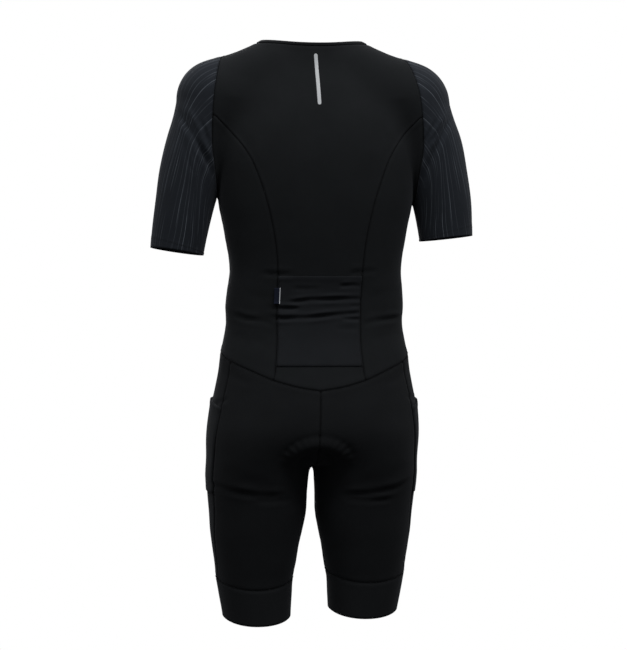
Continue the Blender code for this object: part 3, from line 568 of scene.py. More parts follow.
def shorts_grid(side):
    """All of one side's shorts from the waist seam to the hem: rows of points round the leg.

    The first column runs down the centre back and the inseam, the last down the centre front and
    the inseam.  Rows above the crotch end on the centre seam, and those below it close."""
    keep = side + " leg"
    counts = (SEAT_COLUMNS, SIDE_COLUMNS, FRONT_LEG_COLUMNS)
    rows = []
    for s in np.linspace(0, 1, HIP_ROWS + 1):
        back, front = centre_seam(np.array(90.0 * s)), centre_seam(np.array(180 - 90.0 * s))
        middle = HIP_MIDDLE_TOP + (HIP_MIDDLE_CROTCH - HIP_MIDDLE_TOP) * s
        first = np.degrees(np.arctan2(back[1], -middle)) % 360 if s < 1 else 180.0
        last = np.degrees(np.arctan2(front[1], -middle)) % -360 if s < 1 else -180.0
        side_height = waist_at(np.array(0.0))[0] * (1 - s) + lowest["crotch"] * s
        seams = [float(seat_seam_at(side_height)[0]), float(side_front_at(side_height)[0])]
        angles = spread([first] + seams + [last], counts)
        flat = waist_at(angles)[0] * (1 - s) + lowest["crotch"] * s
        t_back = np.clip((angles - seams[0]) / (first - seams[0]), 0, 1)
        t_front = np.clip((seams[1] - angles) / (seams[1] - last), 0, 1)
        z = flat + (back[2] - flat[0]) * t_back ** 2.5 + (front[2] - flat[-1]) * t_front ** 2.5
        row = hip_point(side, z, middle, angles, keep)
        row[0], row[-1] = back, front
        rows.append(mended(row, side, keep))
    gripper_row = HIP_ROWS + LEG_ROWS
    for k in range(1, LEG_ROWS + BAND_ROWS + 1):
        low = GRIPPER_SEAM if k <= LEG_ROWS else HEM
        s = k / LEG_ROWS if k <= LEG_ROWS else (k - LEG_ROWS) / BAND_ROWS
        about = lowest["crotch"] + (low["side"] - lowest["crotch"]) * min(k / LEG_ROWS, 1)
        middle = leg_at(np.array(about))[0]
        seams = [float(seat_seam_at(about)[0]), float(side_front_at(about)[0])]
        angles = spread([180.0] + seams + [-180.0], counts)
        above = lowest["crotch"] if k <= LEG_ROWS else band_height(GRIPPER_SEAM, side, angles)
        z = above + (band_height(low, side, angles) - above) * s
        row = hip_point(side, z, float(middle), angles, keep)
        row[-1] = row[0]
        rows.append(row)
    return np.stack(rows), gripper_row


# %% [markdown]
# With the rules written, the armpits and the crotch are found first, because the rules that leave an
# arm or a leg out of a panel's surface need their heights.  Then every panel is laid out.

# %% Lay out every panel
armpit_heights()
lowest["crotch"] = float(centre_seam(np.array(90.0))[2])
panels = torso_panels()
shorts = {side: shorts_grid(side) for side in SIDES}
print("panels:", len(panels), "grids; armpits and crotch at", lowest)

# %% [markdown]
# Stretch cloth shows few folds, and they sit where it has room: across the small of the back over
# the pocket, under the seat, and behind the armpits.  Each one is given as a short path with its own
# depth and width.  A fold is a soft trough with a rounded ridge beside it, and both fade towards the
# ends, so no two look alike.

# %% Creases
# face, depth, width, ridge share, then the path: distance to the wearer's left, height
CREASES = [
    ("back", 2.9, 3.2, 0.8, [(47, -402), (14, -398), (-30, -396.5), (-66, -396)]),
    ("back", 0.8, 3.0, 0.6, [(-46, -407), (-66, -407)]),
    ("back", 2.6, 3.0, 0.8, [(80, -409), (58, -411), (30, -411)]),
    ("back", 2.8, 3.2, 0.9, [(94, -423), (56, -427), (20, -426), (-20, -422), (-66, -418)]),
    ("back", 1.6, 2.8, 0.6, [(-34, -427), (-66, -428)]),
    ("back", 2.6, 3.6, 0.8, [(138, -418), (112, -427), (86, -431), (68, -435)]),
    ("back", 2.8, 3.6, 0.8, [(-70, -435), (-96, -429), (-140, -424)]),
    ("back", 0.6, 4.0, 0.5, [(-24, -442), (-60, -443)]),
    ("back", 2.2, 3.4, 0.6, [(92, -356), (64, -358), (40, -358)]),
    ("back", 2.2, 3.4, 0.6, [(-46, -356), (-68, -354), (-90, -352)]),
    ("back", 0.7, 3.6, 0.6, [(44, -380), (18, -381), (-4, -380)]),
    ("back", 1.7, 3.0, 0.6, [(-30, -376), (-50, -375), (-66, -376)]),
    ("back", 0.6, 7.0, 0.5, [(120, -384), (96, -392), (76, -398)]),
    ("back", 0.6, 7.0, 0.5, [(-78, -394), (-104, -388), (-130, -380)]),
    ("back", 0.7, 8.0, 0.4, [(136, -452), (110, -460), (80, -462)]),
    ("back", 0.7, 8.0, 0.4, [(-82, -458), (-112, -454), (-138, -446)]),
    ("back", 2.9, 4.2, 0.8, [(166, -684), (138, -693), (90, -701), (44, -702)]),
    ("back", 2.2, 3.6, 0.8, [(98, -709), (68, -710), (36, -709)]),
    ("back", 2.9, 4.2, 0.8, [(-162, -676), (-128, -690), (-80, -699), (-42, -701)]),
    ("back", 2.2, 3.6, 0.8, [(-48, -708), (-86, -710), (-122, -707)]),
    ("back", 0.7, 8.0, 0.5, [(150, -660), (110, -676), (70, -684)]),
    ("back", 0.7, 8.0, 0.5, [(-150, -654), (-110, -672), (-66, -682)]),
    ("back", 4.6, 4.6, 0.7, [(-212, -108), (-195, -140), (-183, -165), (-174, -190), (-167, -214)]),
    ("back", 2.6, 3.4, 0.8, [(-200, -116), (-188, -134), (-178, -150)]),
    ("back", 2.0, 3.2, 0.8, [(-190, -112), (-180, -128), (-170, -146)]),
    ("back", 4.4, 4.4, 0.7, [(216, -100), (206, -124), (190, -152), (176, -178), (166, -206)]),
    ("back", 2.8, 3.4, 0.8, [(206, -104), (198, -122), (186, -146)]),
    ("back", 2.0, 3.0, 0.8, [(184, -118), (178, -134), (174, -150)]),
    ("back", 1.0, 3.6, 0.6, [(212, -150), (206, -176), (198, -200)]),
    ("back", 0.8, 9.0, 0.5, [(130, -128), (112, -160), (104, -196)]),
    ("back", 0.8, 9.0, 0.5, [(-134, -126), (-116, -158), (-106, -194)]),
    ("back", 0.7, 5.0, 0.5, [(150, -512), (128, -520), (104, -530)]),
    ("back", 0.7, 5.0, 0.5, [(-150, -508), (-128, -520), (-104, -530)]),
    ("back", 1.1, 3.0, 0.6, [(160, -562), (150, -556), (140, -552)]),
    ("back", 1.1, 3.0, 0.6, [(-160, -556), (-150, -551), (-140, -549)]),
    ("front", 2.6, 5.0, 0.6, [(208, -104), (192, -138), (176, -170), (164, -204)]),
    ("front", 2.6, 5.0, 0.6, [(-208, -106), (-192, -140), (-176, -172), (-164, -206)]),
    ("front", 1.4, 3.6, 0.7, [(190, -112), (176, -136), (166, -160)]),
    ("front", 1.3, 3.6, 0.7, [(-188, -110), (-176, -132), (-166, -156)]),
    ("front", 1.3, 5.0, 0.6, [(126, -398), (80, -408), (34, -410)]),
    ("front", 1.5, 5.0, 0.6, [(-122, -402), (-72, -412), (-26, -409)]),
    ("front", 1.2, 5.0, 0.6, [(110, -432), (60, -438), (20, -436)]),
    ("front", 1.1, 5.0, 0.6, [(-112, -430), (-66, -441), (-18, -440)]),
    ("front", 0.9, 6.0, 0.6, [(96, -462), (58, -466), (24, -463)]),
    ("front", 1.6, 5.0, 0.7, [(128, -560), (84, -600), (40, -634), (12, -650)]),
    ("front", 1.6, 5.0, 0.7, [(-126, -556), (-84, -598), (-42, -634), (-14, -652)]),
    ("front", 1.1, 4.4, 0.7, [(108, -600), (70, -630), (30, -660)]),
    ("front", 1.1, 4.4, 0.7, [(-104, -598), (-68, -630), (-34, -660)]),
    ("front", 0.8, 7.0, 0.5, [(120, -700), (84, -708), (50, -706)]),
    ("front", 0.8, 7.0, 0.5, [(-118, -696), (-84, -706), (-52, -704)]),
]
CREASE_REACH = 25           # a fold lifts nothing further off than this
print("creases:", len(CREASES))


def beside_path(x, z, corners):
    """Distance from each point to a path, the side it lies on, and how far along the path it is."""
    lengths = np.r_[0, np.cumsum(np.hypot(*np.diff(corners, axis=0).T))]
    best, above, run = np.full(x.shape, 1e9), np.zeros(x.shape), np.zeros(x.shape)
    for k in range(len(corners) - 1):
        (ax, az), (bx, bz) = corners[k], corners[k + 1]
        ux, uz = bx - ax, bz - az
        t = np.clip(((x - ax) * ux + (z - az) * uz) / (ux * ux + uz * uz), 0, 1)
        dx, dz = x - ax - t * ux, z - az - t * uz
        gap = np.hypot(dx, dz)
        hit = gap < best
        best = np.where(hit, gap, best)
        above = np.where(hit, np.sign(dz), above)
        run = np.where(hit, (lengths[k] + t * np.hypot(ux, uz)) / lengths[-1], run)
    return best, above, run


def crease_height(points):
    """How far, in millimetres, each point is lifted by the folds near it."""
    x, y, z = points[..., 0], points[..., 1], points[..., 2]
    lift = np.zeros(x.shape)
    for face, depth, width, ridge, path in CREASES:
        facing = y > -6 if face == "back" else y < 6
        corners = np.array(path, float)
        low, high = corners.min(0) - CREASE_REACH, corners.max(0) + CREASE_REACH
        near = facing & (x > low[0]) & (x < high[0]) & (z > low[1]) & (z < high[1])
        if not near.any():
            continue
        px, pz = x[near], z[near]
        gap, above, run = beside_path(px, pz, corners)
        across = gap * above / width
        taper = np.clip(np.minimum(run, 1 - run) * 5, 0, 1) ** 0.7 * 0.92 + 0.08
        wander = 0.85 + 0.3 * np.sin(px * 0.11 + pz * 0.07)
        trough = -np.exp(-across ** 2)
        ridges = np.exp(-(across - 1.9) ** 2) + 0.45 * np.exp(-(across + 2.0) ** 2)
        lift[near] += depth * taper * wander * (trough + ridge * ridges * 0.7)
    return lift


# %% [markdown]
# Under tension a seam sinks a little and the cloth beside it puffs up, with tiny puckers where the
# thread draws it in.  The seat pad also presses through the seat as an arch with radial crimps.

# %% Seam and pad relief
PAD_BASE, PAD_TOP = -662.0, 52.0


def seam_height(to_seam, run):
    """Relief beside a seam: `to_seam` is the distance from it and `run` the distance along it."""
    pucker = 1 + 0.5 * np.sin(run / 2.9) * np.sin(run / 17.0 + 1.3)
    return (-0.7 * np.exp(-(to_seam / 1.8) ** 2) + 0.32 * pucker * np.exp(-((to_seam - 5.5) / 3.2) ** 2))


def pad_height(points):
    """The pad's arch: a raised band with a stitched edge, seen under the seat."""
    x, y, z = points[..., 0], points[..., 1], points[..., 2]
    reach = np.hypot(x / 1.15, z - PAD_BASE)
    turn = np.arctan2(z - PAD_BASE, x)
    upper = (y > 20) & (z > PAD_BASE - 40)
    band = 3.6 * np.exp(-((reach - 41) / 8.0) ** 2)
    edges = (-1.4 * np.exp(-((reach - PAD_TOP - 3) / 2.6) ** 2)
             - 2.2 * np.exp(-((reach - 27) / 4.5) ** 2))
    crimps = 0.7 * np.sin(turn * 30) * np.exp(-((reach - PAD_TOP + 3) / 6) ** 2)
    fade = np.clip((turn - 0.12) / 0.5, 0, 1) * np.clip((3.02 - turn) / 0.5, 0, 1)
    return np.where(upper, (band + edges + crimps) * fade, 0)


# %% [markdown]
# Each panel becomes a closed thin wall: the outer face with its creases, the same face moved in by
# the cloth's thickness, and a rim between them.  The UV map runs in metres across and along the
# panel, so a knit or a stripe keeps its true size however the panel curves.

# %% Cloth from grids of points
def unit(v):
    """Vectors of length one."""
    return v / np.maximum(np.linalg.norm(v, axis=-1, keepdims=True), 1e-9)


def posed(p):
    """From the upright figure, in millimetres, to the pose, in metres."""
    q = np.array(p, float)
    q[..., 0] += lean_at(q[..., 2])[0]
    return q * MM


def run_lengths(grid, axis):
    """Distance along each row or column of a grid, averaged over its neighbours."""
    steps = np.linalg.norm(np.diff(grid, axis=axis), axis=-1)
    total = np.cumsum(steps.mean(axis=1 - axis))
    return np.r_[0, total]


def mesh_object(name, points, faces, uv=None):
    """A smooth-shaded object from arrays of points, four-cornered faces and corner UVs."""
    mesh = bpy.data.meshes.new(name)
    points, faces = np.asarray(points, np.float32), np.asarray(faces, np.int32)
    mesh.vertices.add(len(points))
    mesh.vertices.foreach_set("co", points.ravel())
    mesh.loops.add(faces.size)
    mesh.loops.foreach_set("vertex_index", faces.ravel())
    mesh.polygons.add(len(faces))
    mesh.polygons.foreach_set("loop_start", np.arange(len(faces), dtype=np.int32) * faces.shape[1])
    mesh.polygons.foreach_set("loop_total", np.full(len(faces), faces.shape[1], np.int32))
    mesh.update(calc_edges=True)
    if uv is not None:
        layer = mesh.uv_layers.new(name="cloth")
        layer.data.foreach_set("uv", np.asarray(uv, np.float32).ravel())
    mesh.shade_smooth()
    made = bpy.data.objects.new(name, mesh)
    bpy.context.scene.collection.objects.link(made)
    return made


def wall_object(name, outer, inner, wraps, u, v):
    """A closed wall between two grids; `u` and `v` are the panel's own lengths, in millimetres."""
    rows, columns = outer.shape[:2]
    last = columns if wraps else columns - 1
    index = np.arange(rows * columns).reshape(rows, columns)
    right = np.roll(index, -1, axis=1)
    a, b = index[:-1, :last], right[:-1, :last]
    d, c = index[1:, :last], right[1:, :last]
    inside = rows * columns
    quads = [np.stack([a, b, c, d], -1).reshape(-1, 4),
             np.stack([a, d, c, b], -1).reshape(-1, 4) + inside]
    for row, flip in ((0, True), (rows - 1, False)):
        p, q = index[row, :last], right[row, :last]
        rim = [q, p, p + inside, q + inside] if flip else [p, q, q + inside, p + inside]
        quads.append(np.stack(rim, -1))
    if not wraps:
        for column, flip in ((0, False), (columns - 1, True)):
            p, q = index[:-1, column], index[1:, column]
            rim = [q, p, p + inside, q + inside] if flip else [p, q, q + inside, p + inside]
            quads.append(np.stack(rim, -1))
    faces = np.concatenate(quads)
    across = np.cross(outer[0, 1] - outer[0, 0], outer[1, 0] - outer[0, 0])
    if across @ (outer[0, 0] - inner[0, 0]) < 0:
        faces = faces[:, ::-1]
    uu, vv = np.meshgrid(u, v)
    flat = np.stack([uu, vv], -1).reshape(-1, 2) * MM
    uv = np.concatenate([flat, flat])[faces.ravel()]
    points = np.concatenate([outer.reshape(-1, 3), inner.reshape(-1, 3)])
    return mesh_object(name, posed(points), faces, uv)


def cloth(name, grid, keep="all", wraps=False, lift=0.0, wall=WALL, free=(), extra=None, creases=True):
    """One piece of cloth on the figure.  `free` names the edges that are hems, not seams."""
    normal, shared = slope(grid, keep), slope(grid)
    normal[0], normal[-1] = shared[0], shared[-1]
    if not wraps:
        normal[:, 0], normal[:, -1] = shared[:, 0], shared[:, -1]
    normal = unit(normal)
    u, v = run_lengths(grid, 1), run_lengths(grid, 0)
    relief = crease_height(grid) + pad_height(grid) if creases else np.zeros(grid.shape[:2])
    uu, vv = np.meshgrid(u, v)
    gaps = {"start": vv, "end": v[-1] - vv, "first": uu, "last": u[-1] - uu}
    for edge, gap in gaps.items():
        if edge not in free and not (wraps and edge in ("first", "last")):
            relief = relief + seam_height(gap, uu if edge in ("start", "end") else vv)
    if extra is not None:
        relief = relief + extra(uu, vv, u[-1], v[-1])
    outer = grid + normal * (lift + relief)[..., None]
    inner = outer - normal * wall
    made = wall_object(name, outer, inner, wraps, u, v)
    across, down = grid[:-1, 1:] - grid[:-1, :-1], grid[1:, :-1] - grid[:-1, :-1]
    cells = np.linalg.norm(np.cross(across, down), axis=-1)
    area = cells.sum() + (cells[:, -1].sum() if wraps else 0)
    widest = np.linalg.norm(np.diff(grid, axis=1), axis=-1).sum(1).max()
    longest = np.linalg.norm(np.diff(grid, axis=0), axis=-1).sum(0).max()
    made["worn"] = [float(widest * MM), float(longest * MM), float(area * MM * MM)]
    return made


# %% [markdown]
# Sewing the main pieces: each takes its grid from the panels and its material later.  Sleeves and
# leg bands are tubes, so their grids wrap.  Knit is cut smaller than it is worn, because it
# stretches by about a tenth, and the printed flat sizes say so.

# %% Main pieces
STRETCH = 1.1               # worn size over cut size, across the body
SLEEVE_HEM = (11.0, 0.45)   # height of the folded hem, and how much it stands up
GRIPPER_LIFT = 0.25
POCKET_LIFT, SIDE_POCKET_LIFT = WALL + 0.5, WALL + 0.3      # the panel below, and a gap
POCKET_WALL, BINDING_WALL = 1.0, 1.8
pieces = {}


def hem_band(height, depth):
    """A folded hem: cloth a little thicker over `height`, with a stitched line at its inner edge.

    Like every relief for `cloth`, it takes the distances across and along a panel and its two
    full lengths, and gives how far the cloth stands up."""
    def relief(_, vv, __, length):
        gap = length - vv
        step = 1 / (1 + np.exp((gap - height) / 0.5))
        return depth * step - 0.35 * np.exp(-((gap - height + 1.2) / 0.7) ** 2)
    return relief


def finish_cloth(made, node):
    """Files a piece of cloth on the suit's body, hides the node it stands for and prints the flat cut it
    came from.
    """
    pieces[made.name] = made
    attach(made, "suit")
    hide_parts(node)
    width, length, area = made["worn"]
    cut = (round(width / STRETCH, 3), round(length, 3))
    area = round(min(area / STRETCH, 0.99 * cut[0] * cut[1]), 4)
    del made["worn"]
    print(made.name, "cut", cut, "area", area)


for side in SIDES:
    grid = panels["sleeve_" + side]
    finish_cloth(cloth("sleeve_cloth_" + side, grid, side + " arm", wraps=True, free=("end",),
                       extra=hem_band(*SLEEVE_HEM)), "sleeve_" + side)
    finish_cloth(cloth("back_side_cloth_" + side, panels["back_side_" + side], "torso"),
                 "back_side_" + side)
    finish_cloth(cloth("front_cloth_" + side, panels["front_" + side], "torso"), "front_" + side)
finish_cloth(cloth("back_centre_cloth", panels["back_centre"], "torso"), "back_centre")
for side in SIDES:
    grid, gripper = shorts[side]
    keep = side + " leg"
    stops = np.cumsum((0, SEAT_COLUMNS, SIDE_COLUMNS, FRONT_LEG_COLUMNS))
    for name, a, b in zip(("seat_", "side_panel_", "front_leg_"), stops, stops[1:]):
        finish_cloth(cloth(name + "cloth_" + side, grid[:gripper + 1, a:b + 1], keep), name + side)
    finish_cloth(cloth("leg_gripper_cloth_" + side, grid[gripper:, :-1], keep, wraps=True,
                       lift=GRIPPER_LIFT, free=("end",)), "leg_gripper_" + side)

# %% [markdown]
# The back pocket is a plain rectangle sewn into the two long seams, with a folded top.  It lies on
# the back panel and stands off a little at its mouth, as an empty pocket does.

# %% Pockets and neck binding
def back_patch(x_edges, z_edges, columns, rows):
    """A grid on the back between two heights; `x_edges(z)` gives its left and right ends."""
    z = np.linspace(*z_edges, rows)[:, None]
    t = np.linspace(0, 1, columns)[None, :]
    low, high = x_edges(z)
    x = low + (high - low) * t
    return cast(lambda r: xyz(x, r, z), 150, "torso")


def pocket_relief(uu, vv, width, length):
    """The mouth stands off in the middle, the hem is a second layer, and the bottom is sewn down."""
    top = length - vv
    mouth = 0.9 * np.exp(-(top / 16) ** 2) * np.sin(np.pi * uu / width) ** 0.5
    hem = 0.5 / (1 + np.exp((top - 8.5) / 0.4)) - 0.4 * np.exp(-((top - 7.4) / 0.6) ** 2)
    bottom = -0.5 * np.exp(-(vv / 3.5) ** 2)
    return mouth + hem + bottom


pocket_grid = back_patch(lambda z: (princess_at(z)[0] - 0.8, 0.8 - princess_at(z)[0]),
                         (BACK_POCKET[0] + 1, BACK_POCKET[1]), 40 * FINE // 3, 44 * FINE // 3)
finish_cloth(cloth("back_pocket_cloth", pocket_grid, "torso", lift=POCKET_LIFT, wall=POCKET_WALL,
                   free=("start", "end"), extra=pocket_relief), "back_pocket")


def side_pocket_relief(uu, vv, width, _):
    """Like the back pocket's relief, at the mouth alone."""
    mouth = 1.3 * np.exp(-(vv / 10) ** 2) * np.sin(np.pi * uu / width) ** 0.5
    return mouth + 0.45 / (1 + np.exp((vv - 9) / 0.5)) - 0.4 * np.exp(-((vv - 8) / 0.6) ** 2)


def side_pocket_grid(side):
    """The rows of one side panel that its pocket covers."""
    grid, gripper = shorts[side]
    panel = grid[:gripper + 1, SEAT_COLUMNS:SEAT_COLUMNS + SIDE_COLUMNS + 1]
    middle = panel[:, panel.shape[1] // 2, 2]
    rows = np.flatnonzero((middle < SIDE_POCKET[1]) & (middle > SIDE_POCKET[0]))
    return panel[rows[0]:rows[-1] + 1]


for side in SIDES:
    finish_cloth(cloth("side_pocket_cloth_" + side, side_pocket_grid(side), side + " leg",
                       lift=SIDE_POCKET_LIFT, wall=POCKET_WALL, free=("start", "end"),
                       extra=side_pocket_relief), "side_pocket_" + side)

left, right = panels["front_left"][-1], panels["front_right"][-1]
neck_seam = np.concatenate([left[::-1], panels["back_centre"][-1][1:], right[1:]])
neck_angles = np.degrees(np.arctan2(neck_seam[:, 1], neck_seam[:, 0]) + np.pi / 2) % 360 - 90
neck_rows = np.stack([neck_point(neck_angles, rise) for rise in np.linspace(0, BINDING_RISE, 8)])
neck_rows[0] = neck_seam


def round_over(_, vv, __, length):
    """The binding's fold, fullest in its middle."""
    return 0.9 * np.sin(np.pi * np.clip(vv / length, 0, 1)) ** 0.6


finish_cloth(cloth("neck_binding_cloth", neck_rows, "torso", lift=0.2, wall=BINDING_WALL,
                   free=("start", "end", "first", "last"), extra=round_over, creases=False),
             "neck_binding")

# %% [markdown]
# The seat pad is foam, thin at its rim, with two grooves moulded along it so that it bends.  It lies
# inside the cloth, along the crotch seam.

# %% Seat pad
def thin_wall(name, grid, outer, normal, wall):
    """A closed wall `wall` thick below a face that was made from a grid."""
    lengths = run_lengths(grid, 1), run_lengths(grid, 0)
    return wall_object(name, outer, outer - normal * wall, False, *lengths)


PAD_ROWS = 14 * FINE
PAD_RIM, PAD_FOAM = 1.2, 4.8        # thickness at the rim, and what the foam adds inside it
PAD_CLEARANCE = 2.4                 # room for the cloth's creases over the pad
pad_angles = np.linspace(PAD[0][0], PAD[-1][0], PAD_ROWS)
pad_half = smooth_table(PAD)(pad_angles)[0]
pad_across = np.linspace(-1, 1, 10 * FINE)
pad_middle = centre_seam(pad_angles)
pad_face = settle(xyz(pad_half[:, None] * pad_across, pad_middle[:, 1:2], pad_middle[:, 2:3] + 6),
                  "all", -(WALL + LAYER_GAP + PAD_CLEARANCE))
pad_normal = unit(slope(pad_face))
round_side = np.clip(4 * (1 - np.abs(pad_across)), 0, 1)[None, :] ** 0.5
ends = np.minimum(np.arange(PAD_ROWS), np.arange(PAD_ROWS)[::-1]) / PAD_ROWS
round_end = np.clip(8 * ends, 0, 1)[:, None] ** 0.5
grooves = 1 - 0.55 * np.exp(-((np.abs(pad_across) - 0.45) / 0.05) ** 2)[None, :]
pad_thick = PAD_RIM + PAD_FOAM * round_side * round_end * grooves
seat_pad = thin_wall("seat_pad_foam", pad_face, pad_face, pad_normal, pad_thick[..., None])
pieces["seat_pad_foam"] = seat_pad
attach(seat_pad, "suit")
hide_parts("seat_pad")
print("seat pad:", PAD_ROWS, "rows; pieces so far:", len(pieces))

# %% [markdown]
# The thread that joins stretch cloth is a flat seam: short stitches side by side over the join, so
# nothing rubs.  One Geometry Nodes tree lays a bead of thread at every pitch along a curve; the
# same tree serves every seam, with its own pitch and turn.

# %% A row of stitches
def add(tree, kind, settings=None, links=None, inputs=None):
    """A node of one kind, with its settings, its input values and the sockets that feed it."""
    node = tree.nodes.new(kind)
    for key, value in (settings or {}).items():
        setattr(node, key, value)
    for key, value in (inputs or {}).items():
        node.inputs[key].default_value = value
    for key, socket in (links or {}).items():
        tree.links.new(socket, node.inputs[key])
    return node


def maths(tree, operation, links, inputs=None):
    """A node that does one sum."""
    return add(tree, "ShaderNodeMath", {"operation": operation}, links, inputs)


def stitch_tree():
    """Beads at even steps along a curve, turned one way and the other in turn."""
    tree = bpy.data.node_groups.new("row of stitches", "GeometryNodeTree")
    face = tree.interface
    face.new_socket("Geometry", in_out="INPUT", socket_type="NodeSocketGeometry")
    for label in ("Pitch", "Length", "Thickness", "Turn"):
        face.new_socket(label, in_out="INPUT", socket_type="NodeSocketFloat")
    face.new_socket("Thread", in_out="INPUT", socket_type="NodeSocketMaterial")
    face.new_socket("Geometry", in_out="OUTPUT", socket_type="NodeSocketGeometry")
    given = add(tree, "NodeGroupInput")
    curve = add(tree, "GeometryNodeMeshToCurve", links={"Mesh": given.outputs["Geometry"]})
    points = add(tree, "GeometryNodeCurveToPoints", {"mode": "LENGTH"},
                 {"Curve": curve.outputs[0], "Length": given.outputs["Pitch"]})
    bead = add(tree, "GeometryNodeMeshIcoSphere", inputs={"Radius": 0.5, "Subdivisions": 1})
    size = add(tree, "ShaderNodeCombineXYZ", links={"X": given.outputs["Thickness"],
               "Y": given.outputs["Thickness"], "Z": given.outputs["Length"]})
    index = add(tree, "GeometryNodeInputIndex")
    odd = maths(tree, "MODULO", {0: index.outputs[0]}, {1: 2.0})
    sign = maths(tree, "MULTIPLY_ADD", {0: odd.outputs[0]}, {1: 2.0, 2: -1.0})
    turn = maths(tree, "MULTIPLY", {0: sign.outputs[0], 1: given.outputs["Turn"]})
    tilt = add(tree, "ShaderNodeCombineXYZ", links={"Y": turn.outputs[0]})
    spin = add(tree, "FunctionNodeRotateRotation", {"rotation_space": "LOCAL"},
               {"Rotation": points.outputs["Rotation"], "Rotate By": tilt.outputs[0]})
    laid = add(tree, "GeometryNodeInstanceOnPoints", links={
        "Points": points.outputs["Points"], "Instance": bead.outputs["Mesh"],
        "Rotation": spin.outputs[0], "Scale": size.outputs[0]})
    real = add(tree, "GeometryNodeRealizeInstances", links={"Geometry": laid.outputs[0]})
    dyed = add(tree, "GeometryNodeSetMaterial",
               links={"Geometry": real.outputs[0], "Material": given.outputs["Thread"]})
    add(tree, "NodeGroupOutput", links={"Geometry": dyed.outputs[0]})
    return tree


STITCHES = stitch_tree()
print("stitch tree:", len(STITCHES.nodes), "nodes")


def sew(name, lines, thread, pitch=1.6, length=2.0, thickness=0.5, turn=0.0, body="suit"):
    """Joined stitches along several lines of points, made a plain mesh."""
    points, edges, start = [], [], 0
    for line in lines:
        points.append(line)
        edges += [(start + i, start + i + 1) for i in range(len(line) - 1)]
        start += len(line)
    mesh = bpy.data.meshes.new(name + "_line")
    mesh.from_pydata([tuple(map(float, p)) for p in posed(np.concatenate(points))], edges, [])
    guide = bpy.data.objects.new(name + "_line", mesh)
    bpy.context.scene.collection.objects.link(guide)
    rule = guide.modifiers.new("stitches", "NODES")
    rule.node_group = STITCHES
    sockets = STITCHES.interface.items_tree
    ids = {item.name: item.identifier for item in sockets if item.in_out == "INPUT"}
    for label, value in (("Pitch", pitch * MM), ("Length", length * MM),
                         ("Thickness", thickness * MM), ("Turn", turn), ("Thread", thread)):
        rule[ids[label]] = value
    depsgraph = bpy.context.evaluated_depsgraph_get()
    plain = bpy.data.meshes.new_from_object(guide.evaluated_get(depsgraph))
    bpy.data.objects.remove(guide, do_unlink=True)
    made = bpy.data.objects.new(name, plain)
    bpy.context.scene.collection.objects.link(made)
    plain.shade_smooth()
    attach(made, body)
    print(name, len(plain.polygons), "faces")
    return made


# %% [markdown]
# Colours are written as sRGB hex, which is how one reads them off a swatch, and one function turns
# them linear.  Knit is a near-black polyester and elastane warp knit: thousands of small loops
# scatter light, so it is rough, with a weak sheen where it turns away.

# %% Colours and knit materials
def linear(colour):
    """Linear red, green and blue from an sRGB hex value such as "1b1d20"."""
    values = [int(colour[i:i + 2], 16) / 255 for i in (0, 2, 4)]
    return tuple(v / 12.92 if v <= 0.04045 else ((v + 0.055) / 1.055) ** 2.4 for v in values)


def rgba(colour):
    """A hex colour as a socket wants it."""
    return (*linear(colour), 1.0)


def mottle(tree, place, scale, detail, roughness=0.5):
    """Noise fixed to the object's own space."""
    return add(tree, "ShaderNodeTexNoise", links={"Vector": place.outputs["Object"]},
               inputs={"Scale": scale, "Detail": detail, "Roughness": roughness})


WALE = 1.1                  # mm between columns of loops, drawn twice as coarse as real, so it shows
COURSE = 0.9                # mm between rows of loops


